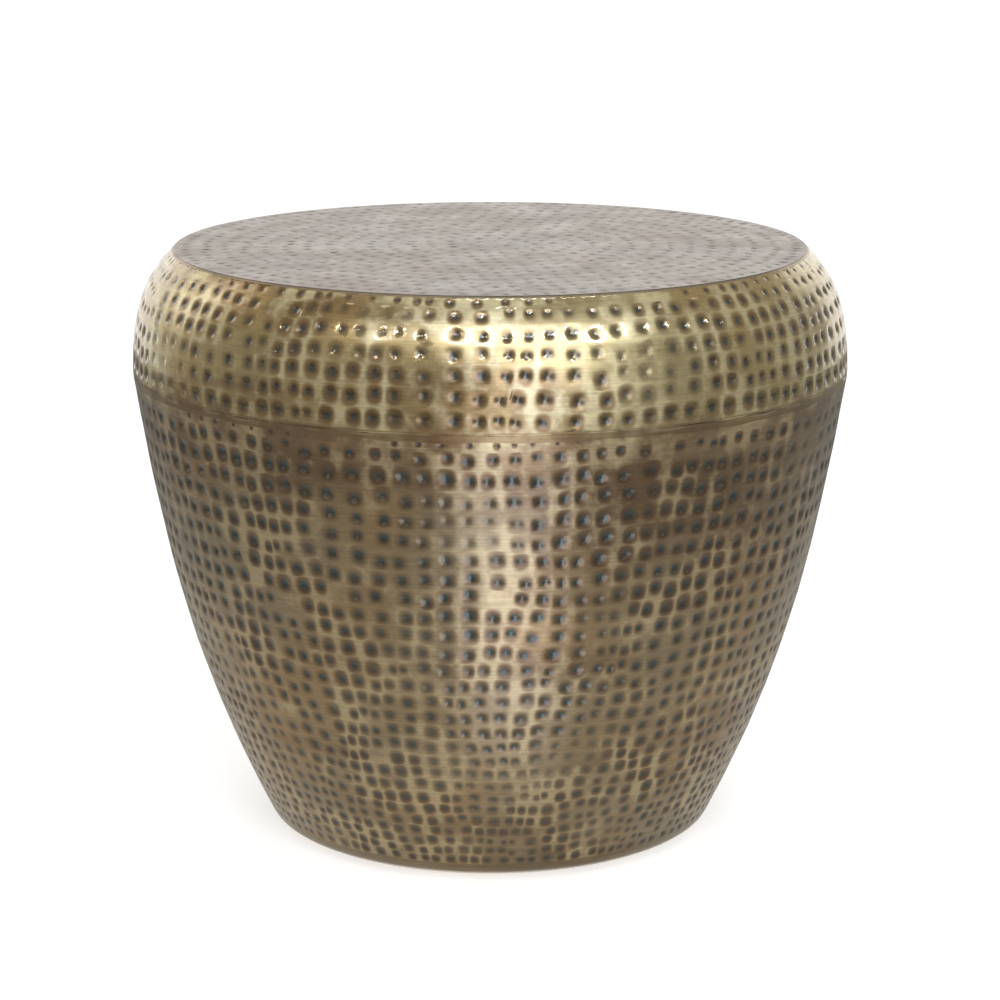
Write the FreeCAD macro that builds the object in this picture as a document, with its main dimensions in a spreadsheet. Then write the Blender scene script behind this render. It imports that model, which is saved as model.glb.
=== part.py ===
"""Drum side table: a hollow drum of hammered brass sheet, brazed up from three sheets.

Millimetres, +Z up. The origin is on the floor, in the middle of the drum.

The shoulder shell and the lower shell meet at a lap joint just under the drum's widest ring: the
lower shell's neck is set in by a joggle and slides up inside the shoulder shell's skirt, and a ring
of braze fills the groove under the skirt's edge. A flat disc closes the top. It sits on the shoulder
shell's inward flange and is kept flat by two half-lapped bars. The drum is open below, where the
lower shell turns in to a foot flange with an upturned lip, which carries four rubber feet.
"""
import FreeCAD, Part
import math
import os

import Sketcher
from FreeCAD import Placement, Rotation, Vector

SIZES = {
    # the drum's outer line
    "overall_height": 450,
    "belly_radius": 271.5,
    "belly_drop": 87,           # from the top down to the widest ring
    "shoulder_inset": 32.7,     # top edge, in from the widest ring
    "shoulder_turn": 12,        # degrees off plumb where the belly passes into the shoulder
    "rim_lean": 50,             # degrees off plumb at the top edge
    "belly_bend": 97,           # radius of the turn under the widest ring
    "flank_turn": 8.7,          # degrees off plumb where the belly passes into the flank
    "flank_bend": 2080,         # radius of the nearly straight flank
    "flank_sweep": 3.3,         # degrees that the flank turns through
    "base_bend": 18,            # radius of the turn into the foot flange
    "foot_inset": 114.9,        # start of the foot flange, in from the widest ring
    # sheets and the joints between them
    "shell_gauge": 1.2,
    "top_gauge": 1.5,
    "rim_bend": 2,
    "rim_flange": 14,           # width of the flange under the top disc
    "skirt_drop": 4,            # shoulder shell's edge, below the widest ring
    "neck_lap": 14,             # height of the neck inside the shoulder shell
    "joggle_bend": 3,
    "braze_gap": 0.2,           # between lapped sheets
    # foot flange and its upturned lip
    "foot_flange": 36,
    "lip_bend": 3,
    "lip_height": 10,
    # bars under the top disc
    "brace_depth": 25,
    "brace_thickness": 3,
    "brace_lap": 9,             # length brazed under the flange
    "brace_gap": 0.2,
    "brace_corner": 12,
    # rubber feet and their fasteners
    "foot_height": 4,
    "foot_diameter": 24,
    "foot_chamfer": 0.8,
    "foot_setback": 18,         # foot's middle, in from the start of the foot flange
    "foot_angle": 45,
    "screw_diameter": 4,
    "screw_length": 8,
    "screw_head": 8,
    "screw_head_height": 1.8,
    "driver_size": 2.5,
    "driver_depth": 1,
    "recess_depth": 2.2,
    "recess_gap": 0.8,          # round the screw's head
    "hole_gap": 0.25,           # round the screw's shank
    "washer_diameter": 9,
    "washer_thickness": 0.8,
    "nut_width": 7,
    "nut_height": 3.2,
}
FEET = 4

doc = FreeCAD.newDocument("drum_side_table")
sheet = doc.addObject("Spreadsheet::Sheet", "sizes")
for row, (alias, value) in enumerate(SIZES.items(), start=1):
    sheet.set(f"A{row}", str(value))
    sheet.setAlias(f"A{row}", alias)
doc.recompute()

# Heights, radii and gaps that several pieces share, as expressions on the sheet.
BELLY_Z = "(sizes.overall_height - sizes.belly_drop)"
TOP_RADIUS = "(sizes.belly_radius - sizes.shoulder_inset)"
DISC_Z = "(sizes.overall_height - sizes.top_gauge)"
DISC_UNDER_RADIUS = f"({TOP_RADIUS} + sizes.top_gauge * tan(sizes.rim_lean * 1 deg))"
FLANGE_INNER = f"({DISC_UNDER_RADIUS} - sizes.rim_flange)"
NECK_OFFSET = "(sizes.shell_gauge + sizes.braze_gap)"
NECK_BEND = f"(sizes.belly_bend - {NECK_OFFSET})"
BASE_RADIUS = "(sizes.belly_radius - sizes.foot_inset)"
LIP_RADIUS = f"({BASE_RADIUS} - sizes.foot_flange)"
FOOT_CIRCLE = f"({BASE_RADIUS} - sizes.foot_setback)"
FLANGE_TOP_Z = "(sizes.foot_height + sizes.shell_gauge)"
HOLE_RADIUS = "(sizes.screw_diameter / 2 + sizes.hole_gap)"


def number(expression):
    """Value of an expression on the sheet, as a plain float."""
    value = sheet.evalExpression(expression)
    return float(getattr(value, "Value", value))


def polar(centre, radius, angle):
    """Point at a radius and an angle (radians, anticlockwise from +X) about a centre."""
    return centre + Vector(radius * math.cos(angle), radius * math.sin(angle), 0)


def heading(start, end):
    """Angle of the line from one point to another, in radians."""
    return math.atan2(end.y - start.y, end.x - start.x)


# ---------------------------------------------------------------- sketch helpers

def arc(sketch, centre, radius, start, end):
    """Add an arc that runs anticlockwise from start to end (radians)."""
    circle = Part.Circle(centre, Vector(0, 0, 1), radius)
    return sketch.addGeometry(Part.ArcOfCircle(circle, start, end))


def line(sketch, start, end):
    """Add a straight line."""
    return sketch.addGeometry(Part.LineSegment(start, end))


def fix(sketch, kind, *elements, size):
    """Add a dimension whose value is an expression on the sheet."""
    unit = " deg" if kind == "Angle" else " mm"
    value = FreeCAD.Units.Quantity(f"{number(size)!r}{unit}")
    index = sketch.addConstraint(Sketcher.Constraint(kind, *elements, value))
    sketch.setExpression(f"Constraints[{index}]", size)


def relate(sketch, kind, *elements):
    """Add a constraint that has no value, such as Tangent."""
    sketch.addConstraint(Sketcher.Constraint(kind, *elements))


def place(sketch, geometry, point, across=None, up=None):
    """Fix a point's distance across and up from the sketch's origin."""
    if across == "0":
        relate(sketch, "PointOnObject", geometry, point, -2)
    elif across is not None:
        fix(sketch, "DistanceX", -1, 1, geometry, point, size=across)
    if up == "0":
        relate(sketch, "PointOnObject", geometry, point, -1)
    elif up is not None:
        fix(sketch, "DistanceY", -1, 1, geometry, point, size=up)


def outline(sketch, corners):
    """Draw a closed outline through corners that are pairs of expressions."""
    points = [Vector(number(across), number(up), 0) for across, up in corners]
    sides = [line(sketch, point, points[(index + 1) % len(points)])
             for index, point in enumerate(points)]
    for index, side in enumerate(sides):
        relate(sketch, "Coincident", side, 2, sides[(index + 1) % len(sides)], 1)
        place(sketch, side, 1, *corners[index])
    return sides


# ---------------------------------------------------------------- body helpers

def new_body(label):
    """Start a body with its own label."""
    body = doc.addObject("PartDesign::Body", label)
    body.Label = label
    return body


def origin_part(body, role):
    """One of the body's origin planes or axes, by its role."""
    return next(item for item in body.Origin.OriginFeatures if item.Role == role)


def new_sketch(body, name, role, lift=None):
    """Sketch on an origin plane of the body, lifted off it by an expression."""
    sketch = body.newObject("Sketcher::SketchObject", name)
    sketch.AttachmentSupport = [(origin_part(body, role), "")]
    sketch.MapMode = "FlatFace"
    if lift is not None:
        sketch.setExpression("AttachmentOffset.Base.z", lift)
    return sketch


def feature(body, kind, name, sketch, **settings):
    """Add a feature on a sketch, with settings that are values or expressions in text."""
    added = body.newObject(f"PartDesign::{kind}", name)
    added.Profile = sketch
    for key, value in settings.items():
        if isinstance(value, str):
            added.setExpression(key, value)
        else:
            setattr(added, key, value)
    sketch.Visibility = False
    return added


def turned(body, sketch, angle=360.0):
    """Revolve a sketch round the body's Z axis, right round unless an angle is given."""
    axis = (origin_part(body, "Z_Axis"), [""])
    return feature(body, "Revolution", sketch.Name + "_turned", sketch, ReferenceAxis=axis, Angle=angle)


def raised(body, name, radius, low, height, across="0"):
    """Raise a round boss from a height, centred on the X axis."""
    sketch = new_sketch(body, name + "_circle", "XY_Plane", lift=low)
    round_sketch(sketch, radius, across)
    return feature(body, "Pad", name, sketch, Length=height)


def bored(body, name, radius, low, depth, across="0"):
    """Cut a round hole upwards from a height, centred on the X axis."""
    doc.recompute()
    before = body.Shape.Volume
    sketch = new_sketch(body, name + "_circle", "XY_Plane", lift=low)
    round_sketch(sketch, radius, across)
    cut = feature(body, "Pocket", name, sketch, Length=depth, Reversed=True)
    doc.recompute()
    if not body.Shape.Volume < before:
        raise ValueError(f"{name} cuts nothing from {body.Label}")
    return cut


def round_sketch(sketch, radius, across):
    """Draw a circle whose middle is on the sketch's horizontal axis."""
    middle = Vector(number(across), 0, 0)
    circle = sketch.addGeometry(Part.Circle(middle, Vector(0, 0, 1), number(radius)))
    place(sketch, circle, 3, across=across, up="0")
    fix(sketch, "Radius", circle, size=radius)


def round_the_feet(body, features):
    """Repeat features once for each foot, and turn the set to the feet's places."""
    pattern = body.newObject("PartDesign::PolarPattern", body.Label + "_set")
    pattern.Originals = features
    pattern.Axis = (origin_part(body, "Z_Axis"), [""])
    pattern.Angle = 360.0
    pattern.Occurrences = FEET
    body.Tip = pattern
    body.Placement = Placement(Vector(), Rotation(Vector(0, 0, 1), 0))
    body.setExpression("Placement.Rotation.Angle", "sizes.foot_angle * 1 deg")
    return pattern


# ---------------------------------------------------------------- the drum's outer line

class DrumLine:
    """Arcs of the drum's outer line, worked out from the sheet so that each runs into the next.

    Lengths are in the plane of the radius (x) and the height (y). Angles are in radians.
    """

    def __init__(self):
        self.belly = Vector(number("sizes.belly_radius"), number(BELLY_Z), 0)
        self.shoulder()
        self.wall()
        self.joggle()
        self.rim()

    def shoulder(self):
        """Two arcs that leave the widest ring plumb and reach the top edge at its lean.

        With the turn t and the lean l, the two radii follow from the drop and the inset:
        drop = upper sin t + shoulder (sin l - sin t)
        inset = upper (1 - cos t) + shoulder (cos t - cos l)
        """
        drop = number("sizes.belly_drop")
        inset = number("sizes.shoulder_inset")
        self.turn = math.radians(number("sizes.shoulder_turn"))
        self.lean = math.radians(number("sizes.rim_lean"))
        rise = math.sin(self.lean) - math.sin(self.turn)
        reach = math.cos(self.turn) - math.cos(self.lean)
        versed = 1 - math.cos(self.turn)
        scale = math.sin(self.turn) * reach - rise * versed
        self.upper_radius = (drop * reach - inset * rise) / scale
        self.shoulder_radius = (inset * math.sin(self.turn) - drop * versed) / scale
        self.upper_centre = self.belly - Vector(self.upper_radius, 0, 0)
        self.shoulder_centre = polar(self.upper_centre, self.upper_radius - self.shoulder_radius, self.turn)

    def wall(self):
        """Belly turn, flank, lower wall and base turn, each tangent to the next.

        The lower wall starts tangent to the end of the flank and has to run into the base turn, which
        gives its radius. With the reach from the base turn's centre to the end of the flank:
        wall = (reach squared - base bend squared) / (2 (reach along the flank's end - base bend))
        """
        belly_bend = number("sizes.belly_bend")
        flank_bend = number("sizes.flank_bend")
        base_bend = number("sizes.base_bend")
        foot_z = number("sizes.foot_height")
        self.flank_start = math.radians(number("sizes.flank_turn"))
        self.flank_end = self.flank_start + math.radians(number("sizes.flank_sweep"))
        self.belly_centre = self.belly - Vector(belly_bend, 0, 0)
        self.base_centre = Vector(number(BASE_RADIUS), foot_z + base_bend, 0)
        self.flank_centre = polar(self.belly_centre, belly_bend - flank_bend, -self.flank_start)
        flank_foot = polar(self.flank_centre, flank_bend, -self.flank_end)
        reach = flank_foot - self.base_centre
        reach_along = reach.dot(polar(Vector(), 1, -self.flank_end))
        self.wall_radius = (reach.Length ** 2 - base_bend ** 2) / (2 * (reach_along - base_bend))
        self.wall_centre = polar(flank_foot, -self.wall_radius, -self.flank_end)
        self.wall_end = -heading(self.wall_centre, self.base_centre)

    def joggle(self):
        """Two small arcs that carry the lower shell's outer face in to its neck."""
        belly_bend = number("sizes.belly_bend")
        bend = number("sizes.joggle_bend")
        neck_bend = number(NECK_BEND)
        self.skirt_angle = math.asin(number("sizes.skirt_drop") / belly_bend)
        outer = belly_bend - bend
        inner = neck_bend + bend
        spread = math.acos((outer ** 2 + inner ** 2 - 4 * bend ** 2) / (2 * outer * inner))
        self.joggle_angle = self.skirt_angle + spread
        self.hollow_centre = polar(self.belly_centre, inner, -self.skirt_angle)
        self.crown_centre = polar(self.belly_centre, outer, -self.joggle_angle)
        self.joggle_heading = heading(self.crown_centre, self.hollow_centre)

    def rim(self):
        """Small bend from the shoulder into the flange under the top disc."""
        bend = number("sizes.rim_bend")
        height = number(DISC_Z) - bend
        reach = self.shoulder_radius - bend
        across = math.sqrt(reach ** 2 - (height - self.shoulder_centre.y) ** 2)
        self.rim_centre = Vector(self.shoulder_centre.x + across, height, 0)
        self.rim_start = heading(self.shoulder_centre, self.rim_centre)


def revolved_sheet(label, draw):
    """Sheet of the shells' gauge: its outer line, thickened inwards, turned half round and mirrored."""
    sketch = doc.addObject("Sketcher::SketchObject", label + "_line")
    sketch.Placement = Placement(Vector(), Rotation(Vector(1, 0, 0), 90))
    draw(sketch)
    section = doc.addObject("Part::Offset2D", label + "_section")
    section.Source = sketch
    section.Mode = "Skin"
    section.Fill = True
    section.setExpression("Value", "sizes.shell_gauge")
    half = doc.addObject("Part::Revolution", label + "_half")
    half.Source = section
    half.Axis = (0, 0, 1)
    half.Angle = 180
    half.Solid = True
    other_half = doc.addObject("Part::Mirroring", label + "_other_half")
    other_half.Source = half
    other_half.Normal = (0, 1, 0)
    shell = doc.addObject("Part::Fuse", label)
    shell.Base = half
    shell.Tool = other_half
    shell.Refine = False
    shell.Label = label
    return shell


# ---------------------------------------------------------------- shells

drum = DrumLine()


def draw_shoulder_line(sketch):
    """Outer face of the shoulder shell, from its skirt's edge up to its flange."""
    belly_bend = number("sizes.belly_bend")
    skirt = arc(sketch, drum.belly_centre, belly_bend, -drum.skirt_angle, 0)
    upper = arc(sketch, drum.upper_centre, drum.upper_radius, 0, drum.turn)
    shoulder = arc(sketch, drum.shoulder_centre, drum.shoulder_radius, drum.turn, drum.rim_start)
    bend = arc(sketch, drum.rim_centre, number("sizes.rim_bend"), drum.rim_start, math.pi / 2)
    corner = Vector(drum.rim_centre.x, number(DISC_Z), 0)
    flange = line(sketch, corner, Vector(number(FLANGE_INNER), number(DISC_Z), 0))
    top_edge = polar(drum.shoulder_centre, drum.shoulder_radius, drum.lean)
    lean = line(sketch, drum.shoulder_centre, top_edge)
    sketch.toggleConstruction(lean)
    relate(sketch, "Tangent", skirt, 2, upper, 1)
    relate(sketch, "Tangent", upper, 2, shoulder, 1)
    relate(sketch, "Tangent", shoulder, 2, bend, 1)
    relate(sketch, "Tangent", bend, 2, flange, 1)
    relate(sketch, "Horizontal", flange)
    relate(sketch, "Coincident", lean, 1, shoulder, 3)
    relate(sketch, "PointOnObject", lean, 2, shoulder)
    place(sketch, skirt, 3, up=BELLY_Z)
    place(sketch, skirt, 2, across="sizes.belly_radius")
    place(sketch, skirt, 1, up=f"{BELLY_Z} - sizes.skirt_drop")
    place(sketch, upper, 3, up=BELLY_Z)
    place(sketch, lean, 2, across=TOP_RADIUS, up="sizes.overall_height")
    place(sketch, flange, 2, across=FLANGE_INNER, up=DISC_Z)
    fix(sketch, "Radius", skirt, size="sizes.belly_bend")
    fix(sketch, "Radius", bend, size="sizes.rim_bend")
    fix(sketch, "Angle", upper, size="sizes.shoulder_turn")
    fix(sketch, "Angle", lean, size="sizes.rim_lean")


def draw_joggle(sketch):
    """The joggle's two arcs, the hollow one above and the crowned one below."""
    bend = number("sizes.joggle_bend")
    hollow = arc(sketch, drum.hollow_centre, bend, math.pi - drum.skirt_angle, math.pi + drum.joggle_heading)
    crown = arc(sketch, drum.crown_centre, bend, -drum.joggle_angle, drum.joggle_heading)
    relate(sketch, "Tangent", hollow, 2, crown, 2)
    fix(sketch, "Radius", hollow, size="sizes.joggle_bend")
    fix(sketch, "Radius", crown, size="sizes.joggle_bend")
    return hollow, crown


def draw_lower_line(sketch):
    """Outer face of the lower shell, from the top of its neck down to its foot flange's lip."""
    belly_bend = number("sizes.belly_bend")
    neck_bend = number(NECK_BEND)
    neck_rise = number("sizes.neck_lap - sizes.skirt_drop")
    neck = arc(sketch, drum.belly_centre, neck_bend, -drum.skirt_angle, math.asin(neck_rise / neck_bend))
    hollow, crown = draw_joggle(sketch)
    belly = arc(sketch, drum.belly_centre, belly_bend, -drum.flank_start, -drum.joggle_angle)
    flank = arc(sketch, drum.flank_centre, number("sizes.flank_bend"), -drum.flank_end, -drum.flank_start)
    wall = arc(sketch, drum.wall_centre, drum.wall_radius, -drum.wall_end, -drum.flank_end)
    base = arc(sketch, drum.base_centre, number("sizes.base_bend"), -math.pi / 2, -drum.wall_end)
    foot_z = number("sizes.foot_height")
    lip_bend = number("sizes.lip_bend")
    lip_radius = number(LIP_RADIUS)
    lip_centre = Vector(lip_radius + lip_bend, foot_z + lip_bend, 0)
    flange = line(sketch, Vector(number(BASE_RADIUS), foot_z, 0), polar(lip_centre, lip_bend, -math.pi / 2))
    turn_up = arc(sketch, lip_centre, lip_bend, math.pi, 1.5 * math.pi)
    lip_top = Vector(lip_radius, foot_z + number("sizes.lip_height"), 0)
    lip = line(sketch, polar(lip_centre, lip_bend, math.pi), lip_top)
    relate(sketch, "Tangent", neck, 1, hollow, 1)
    relate(sketch, "Tangent", crown, 1, belly, 2)
    relate(sketch, "Tangent", belly, 1, flank, 2)
    relate(sketch, "Tangent", flank, 1, wall, 2)
    relate(sketch, "Tangent", wall, 1, base, 2)
    relate(sketch, "Tangent", base, 1, flange, 1)
    relate(sketch, "Tangent", flange, 2, turn_up, 2)
    relate(sketch, "Tangent", turn_up, 1, lip, 1)
    relate(sketch, "Horizontal", flange)
    relate(sketch, "Vertical", lip)
    relate(sketch, "Coincident", neck, 3, belly, 3)
    place(sketch, belly, 3, across="sizes.belly_radius - sizes.belly_bend", up=BELLY_Z)
    place(sketch, belly, 1, up=f"{BELLY_Z} - sizes.belly_bend * sin(sizes.flank_turn * 1 deg)")
    place(sketch, neck, 2, up=f"{BELLY_Z} + sizes.neck_lap - sizes.skirt_drop")
    place(sketch, neck, 1, up=f"{BELLY_Z} - sizes.skirt_drop * {NECK_BEND} / sizes.belly_bend")
    place(sketch, flange, 1, across=BASE_RADIUS, up="sizes.foot_height")
    place(sketch, lip, 2, across=LIP_RADIUS, up="sizes.foot_height + sizes.lip_height")
    fix(sketch, "Radius", neck, size=NECK_BEND)
    fix(sketch, "Radius", belly, size="sizes.belly_bend")
    fix(sketch, "Radius", flank, size="sizes.flank_bend")
    fix(sketch, "Angle", flank, size="sizes.flank_sweep")
    fix(sketch, "Radius", base, size="sizes.base_bend")
    fix(sketch, "Radius", turn_up, size="sizes.lip_bend")


def make_lower_shell():
    """Lower shell, with a hole through its foot flange for each foot's screw."""
    blank = revolved_sheet("lower_shell_blank", draw_lower_line)
    drills = []
    for index in range(FEET):
        drill = doc.addObject("Part::Cylinder", f"foot_drill_{index + 1}")
        drill.setExpression("Radius", HOLE_RADIUS)
        drill.setExpression("Height", "sizes.shell_gauge * 3")
        drill.setExpression("Placement.Base.z", "sizes.foot_height - sizes.shell_gauge")
        put_on_foot_circle(drill, index)
        drills.append(drill)
    holes = doc.addObject("Part::MultiFuse", "foot_holes")
    holes.Shapes = drills
    shell = doc.addObject("Part::Cut", "lower_shell")
    shell.Base = blank
    shell.Tool = holes
    shell.Label = "lower_shell"
    return shell


def put_on_foot_circle(piece, index):
    """Bind a piece's place to one of the feet's places."""
    angle = f"(sizes.foot_angle + {index} * 360 / {FEET}) * 1 deg"
    piece.setExpression("Placement.Base.x", f"{FOOT_CIRCLE} * cos({angle})")
    piece.setExpression("Placement.Base.y", f"{FOOT_CIRCLE} * sin({angle})")


def make_seam_braze():
    """Ring of braze that fills the joggle under the skirt's edge, dressed flush with the drum.

    It is laid in two runs, from one side of the drum to the other, that meet on the X axis.
    """
    body = new_body("seam_braze")
    sketch = new_sketch(body, "seam_braze_section", "XZ_Plane")
    belly_bend = number("sizes.belly_bend")
    hollow, crown = draw_joggle(sketch)
    face = arc(sketch, drum.belly_centre, belly_bend, -drum.joggle_angle, -drum.skirt_angle)
    skirt_corner = polar(drum.belly_centre, belly_bend, -drum.skirt_angle)
    edge = line(sketch, skirt_corner, polar(drum.belly_centre, number(NECK_BEND), -drum.skirt_angle))
    relate(sketch, "Tangent", crown, 1, face, 1)
    relate(sketch, "Coincident", edge, 1, face, 2)
    relate(sketch, "Coincident", edge, 2, hollow, 1)
    relate(sketch, "PointOnObject", face, 3, edge)
    relate(sketch, "PointOnObject", hollow, 3, edge)
    place(sketch, face, 3, across="sizes.belly_radius - sizes.belly_bend", up=BELLY_Z)
    place(sketch, face, 2, up=f"{BELLY_Z} - sizes.skirt_drop")
    fix(sketch, "Radius", face, size="sizes.belly_bend")
    fix(sketch, "Distance", edge, size=NECK_OFFSET)
    run = turned(body, sketch, angle=180.0)
    ring = body.newObject("PartDesign::Mirrored", "seam_braze_runs")
    ring.Originals = [run]
    ring.MirrorPlane = (origin_part(body, "XZ_Plane"), [""])
    ring.Refine = False
    body.Tip = ring
    return body


def make_top_disc():
    """Flat disc, its edge ground to the shoulder's slope."""
    body = new_body("top_disc")
    sketch = new_sketch(body, "top_disc_section", "XZ_Plane")
    outline(sketch, [
        ("0", DISC_Z),
        (DISC_UNDER_RADIUS, DISC_Z),
        (TOP_RADIUS, "sizes.overall_height"),
        ("0", "sizes.overall_height"),
    ])
    turned(body, sketch)
    return body


# ---------------------------------------------------------------- bars under the top disc

def make_brace(label, plane, slot_from_below):
    """Flat bar on edge under the top disc, its ends stepped to pass under the rim flange."""
    body = new_body(label)
    end = f"({FLANGE_INNER} + sizes.brace_lap)"
    step = f"({FLANGE_INNER} - sizes.brace_gap)"
    low = f"({DISC_Z} - sizes.brace_depth)"
    under_flange = f"({DISC_Z} - sizes.shell_gauge)"
    right = [
        (f"{end} - sizes.brace_corner", low),
        (end, f"{low} + sizes.brace_corner"),
        (end, under_flange),
        (step, under_flange),
        (step, DISC_Z),
    ]
    left = [(f"-({across})", up) for across, up in reversed(right)]
    sketch = new_sketch(body, label + "_side", plane)
    outline(sketch, right + left)
    feature(body, "Pad", label + "_bar", sketch, Length="sizes.brace_thickness", Midplane=True)
    doc.recompute()
    whole = body.Shape.Volume
    half = "(sizes.brace_thickness + sizes.brace_gap) / 2"
    middle = f"({DISC_Z} - sizes.brace_depth / 2)"
    if slot_from_below:
        slot = [(f"-{half}", low), (half, low), (half, f"{middle} + sizes.brace_gap / 2"),
                (f"-{half}", f"{middle} + sizes.brace_gap / 2")]
    else:
        slot = [(f"-{half}", f"{middle} - sizes.brace_gap / 2"), (half, f"{middle} - sizes.brace_gap / 2"),
                (half, DISC_Z), (f"-{half}", DISC_Z)]
    slot_sketch = new_sketch(body, label + "_slot", plane)
    outline(slot_sketch, slot)
    feature(body, "Pocket", label + "_half_lap", slot_sketch,
            Length="sizes.brace_thickness * 2", Midplane=True)
    doc.recompute()
    if not body.Shape.Volume < whole:
        raise ValueError(f"the half lap cuts nothing from {label}")
    return body


# ---------------------------------------------------------------- feet and their fasteners

def make_foot(index):
    """Rubber pad with a chamfered tread and a recess for the screw's head."""
    body = new_body(f"foot_{index + 1}")
    pad = raised(body, f"foot_pad_{index + 1}", "sizes.foot_diameter / 2", "0", "sizes.foot_height")
    doc.recompute()
    tread = body.newObject("PartDesign::Chamfer", f"foot_tread_{index + 1}")
    lowest = min(range(len(pad.Shape.Edges)), key=lambda edge: pad.Shape.Edges[edge].CenterOfMass.z)
    tread.Base = (pad, [f"Edge{lowest + 1}"])
    tread.setExpression("Size", "sizes.foot_chamfer")
    recess = "sizes.screw_head / 2 + sizes.recess_gap"
    bored(body, f"foot_recess_{index + 1}", recess, "0", "sizes.recess_depth")
    bored(body, f"foot_hole_{index + 1}", HOLE_RADIUS, "0", "sizes.foot_height")
    put_on_foot_circle(body, index)
    return body


def make_foot_screws():
    """Low-headed screws, driven up through the feet and the foot flange."""
    body = new_body("foot_screws")
    head_low = "(sizes.recess_depth - sizes.screw_head_height)"
    shank_radius = "sizes.screw_diameter / 2"
    head = raised(body, "screw_head", "sizes.screw_head / 2", head_low, "sizes.screw_head_height", FOOT_CIRCLE)
    shank = raised(body, "screw_shank", shank_radius, "sizes.recess_depth", "sizes.screw_length", FOOT_CIRCLE)
    socket_sketch = new_sketch(body, "screw_socket_outline", "XY_Plane", lift=head_low)
    outline(socket_sketch, hexagon("sizes.driver_size"))
    socket = feature(body, "Pocket", "screw_socket", socket_sketch, Length="sizes.driver_depth", Reversed=True)
    round_the_feet(body, [head, shank, socket])
    return body


def hexagon(across_flats):
    """Corners of a hexagon on the foot circle, two of its sides square to the X axis."""
    corner = f"({across_flats} / sqrt(3))"
    return [(f"{FOOT_CIRCLE} + {corner} * cos({30 + 60 * side} deg)", f"{corner} * sin({30 + 60 * side} deg)")
            for side in range(6)]


def make_foot_washers():
    """Plain washers on top of the foot flange."""
    body = new_body("foot_washers")
    washer = raised(body, "washer_disc", "sizes.washer_diameter / 2", FLANGE_TOP_Z,
                    "sizes.washer_thickness", FOOT_CIRCLE)
    hole = bored(body, "washer_hole", HOLE_RADIUS, FLANGE_TOP_Z, "sizes.washer_thickness", FOOT_CIRCLE)
    round_the_feet(body, [washer, hole])
    return body


def make_foot_nuts():
    """Hexagon nuts that draw the feet up against the foot flange."""
    body = new_body("foot_nuts")
    low = f"({FLANGE_TOP_Z} + sizes.washer_thickness)"
    sketch = new_sketch(body, "nut_outline", "XY_Plane", lift=low)
    outline(sketch, hexagon("sizes.nut_width"))
    nut = feature(body, "Pad", "nut_block", sketch, Length="sizes.nut_height")
    thread = bored(body, "nut_thread", "sizes.screw_diameter / 2", low, "sizes.nut_height", FOOT_CIRCLE)
    round_the_feet(body, [nut, thread])
    return body


# ---------------------------------------------------------------- the table

nodes = [
    make_top_disc(),
    revolved_sheet("shoulder_shell", draw_shoulder_line),
    make_lower_shell(),
    make_seam_braze(),
    make_brace("top_brace_upper", "XZ_Plane", slot_from_below=True),
    make_brace("top_brace_lower", "YZ_Plane", slot_from_below=False),
    *[make_foot(index) for index in range(FEET)],
    make_foot_screws(),
    make_foot_washers(),
    make_foot_nuts(),
]
doc.recompute()

for item in doc.Objects:
    if "Invalid" in item.State or "Error" in item.State:
        raise ValueError(f"{item.Label} failed: {item.State}")
for node in nodes:
    if node.Shape.isNull() or not node.Shape.isValid() or node.Shape.Volume <= 0:
        raise ValueError(f"{node.Label} has no valid solid")

os.makedirs("parts", exist_ok=True)
for node in nodes:
    node.Shape.exportStep(f"parts/{node.Label}.step")
    print(f"{node.Label}: {len(node.Shape.Solids)} solid(s), {node.Shape.Volume:.0f} mm3")
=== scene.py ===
"""Hammered brass drum side table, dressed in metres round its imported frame.

+Z is up, and the origin is on the floor in the middle of the drum. Each brass sheet is one piece: its
section is a chain of tangent arcs, and its hammer marks are cells laid out on the sheet's own two
parameters, the angle round the drum and the way down its section.
"""
import logging
import math
from collections.abc import Callable, Sequence
from dataclasses import dataclass, field, replace
from enum import Enum
from functools import cached_property, partial, reduce

import bpy
import numpy as np
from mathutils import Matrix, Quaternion, Vector
from numpy.typing import NDArray


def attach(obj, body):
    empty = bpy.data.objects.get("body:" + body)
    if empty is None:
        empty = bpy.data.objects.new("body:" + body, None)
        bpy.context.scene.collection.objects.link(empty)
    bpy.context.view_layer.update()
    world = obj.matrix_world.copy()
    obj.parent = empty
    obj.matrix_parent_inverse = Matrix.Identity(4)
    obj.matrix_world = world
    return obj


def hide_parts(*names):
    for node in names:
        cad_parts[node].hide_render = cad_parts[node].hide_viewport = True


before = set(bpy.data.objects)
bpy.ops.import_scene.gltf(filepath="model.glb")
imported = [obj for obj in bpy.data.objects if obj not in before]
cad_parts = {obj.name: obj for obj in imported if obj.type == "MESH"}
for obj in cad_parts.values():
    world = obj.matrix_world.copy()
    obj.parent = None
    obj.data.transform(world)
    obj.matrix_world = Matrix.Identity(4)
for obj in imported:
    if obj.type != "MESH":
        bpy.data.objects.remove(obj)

Floats = NDArray[np.float64]
Ints = NDArray[np.int64]
Pair = tuple[float, float]
Place = tuple[float, float, float]
Colour = tuple[float, float, float]
Lay = Callable[[Floats, Floats], Floats]
Random = np.random.Generator
Socket = bpy.types.NodeSocket

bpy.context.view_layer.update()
MM = 0.001
TURN = 2 * math.pi
BODY = "root"
DRUM_MIDDLE = (0.0, 0.0, 0.28)

log = logging.getLogger("drum_table")


def ray(angle: Floats) -> Floats:
    """Unit directions at angles: cosine and sine."""
    return np.stack([np.cos(angle), np.sin(angle)], axis=-1)


def turned(across: Floats, up: Floats | float, angle: Floats) -> Floats:
    """Points round the drum: radius times cosine, radius times sine, and height."""
    across, up, angle = np.broadcast_arrays(across, up, angle)
    return np.stack([across * np.cos(angle), across * np.sin(angle), up], axis=-1)


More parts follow.
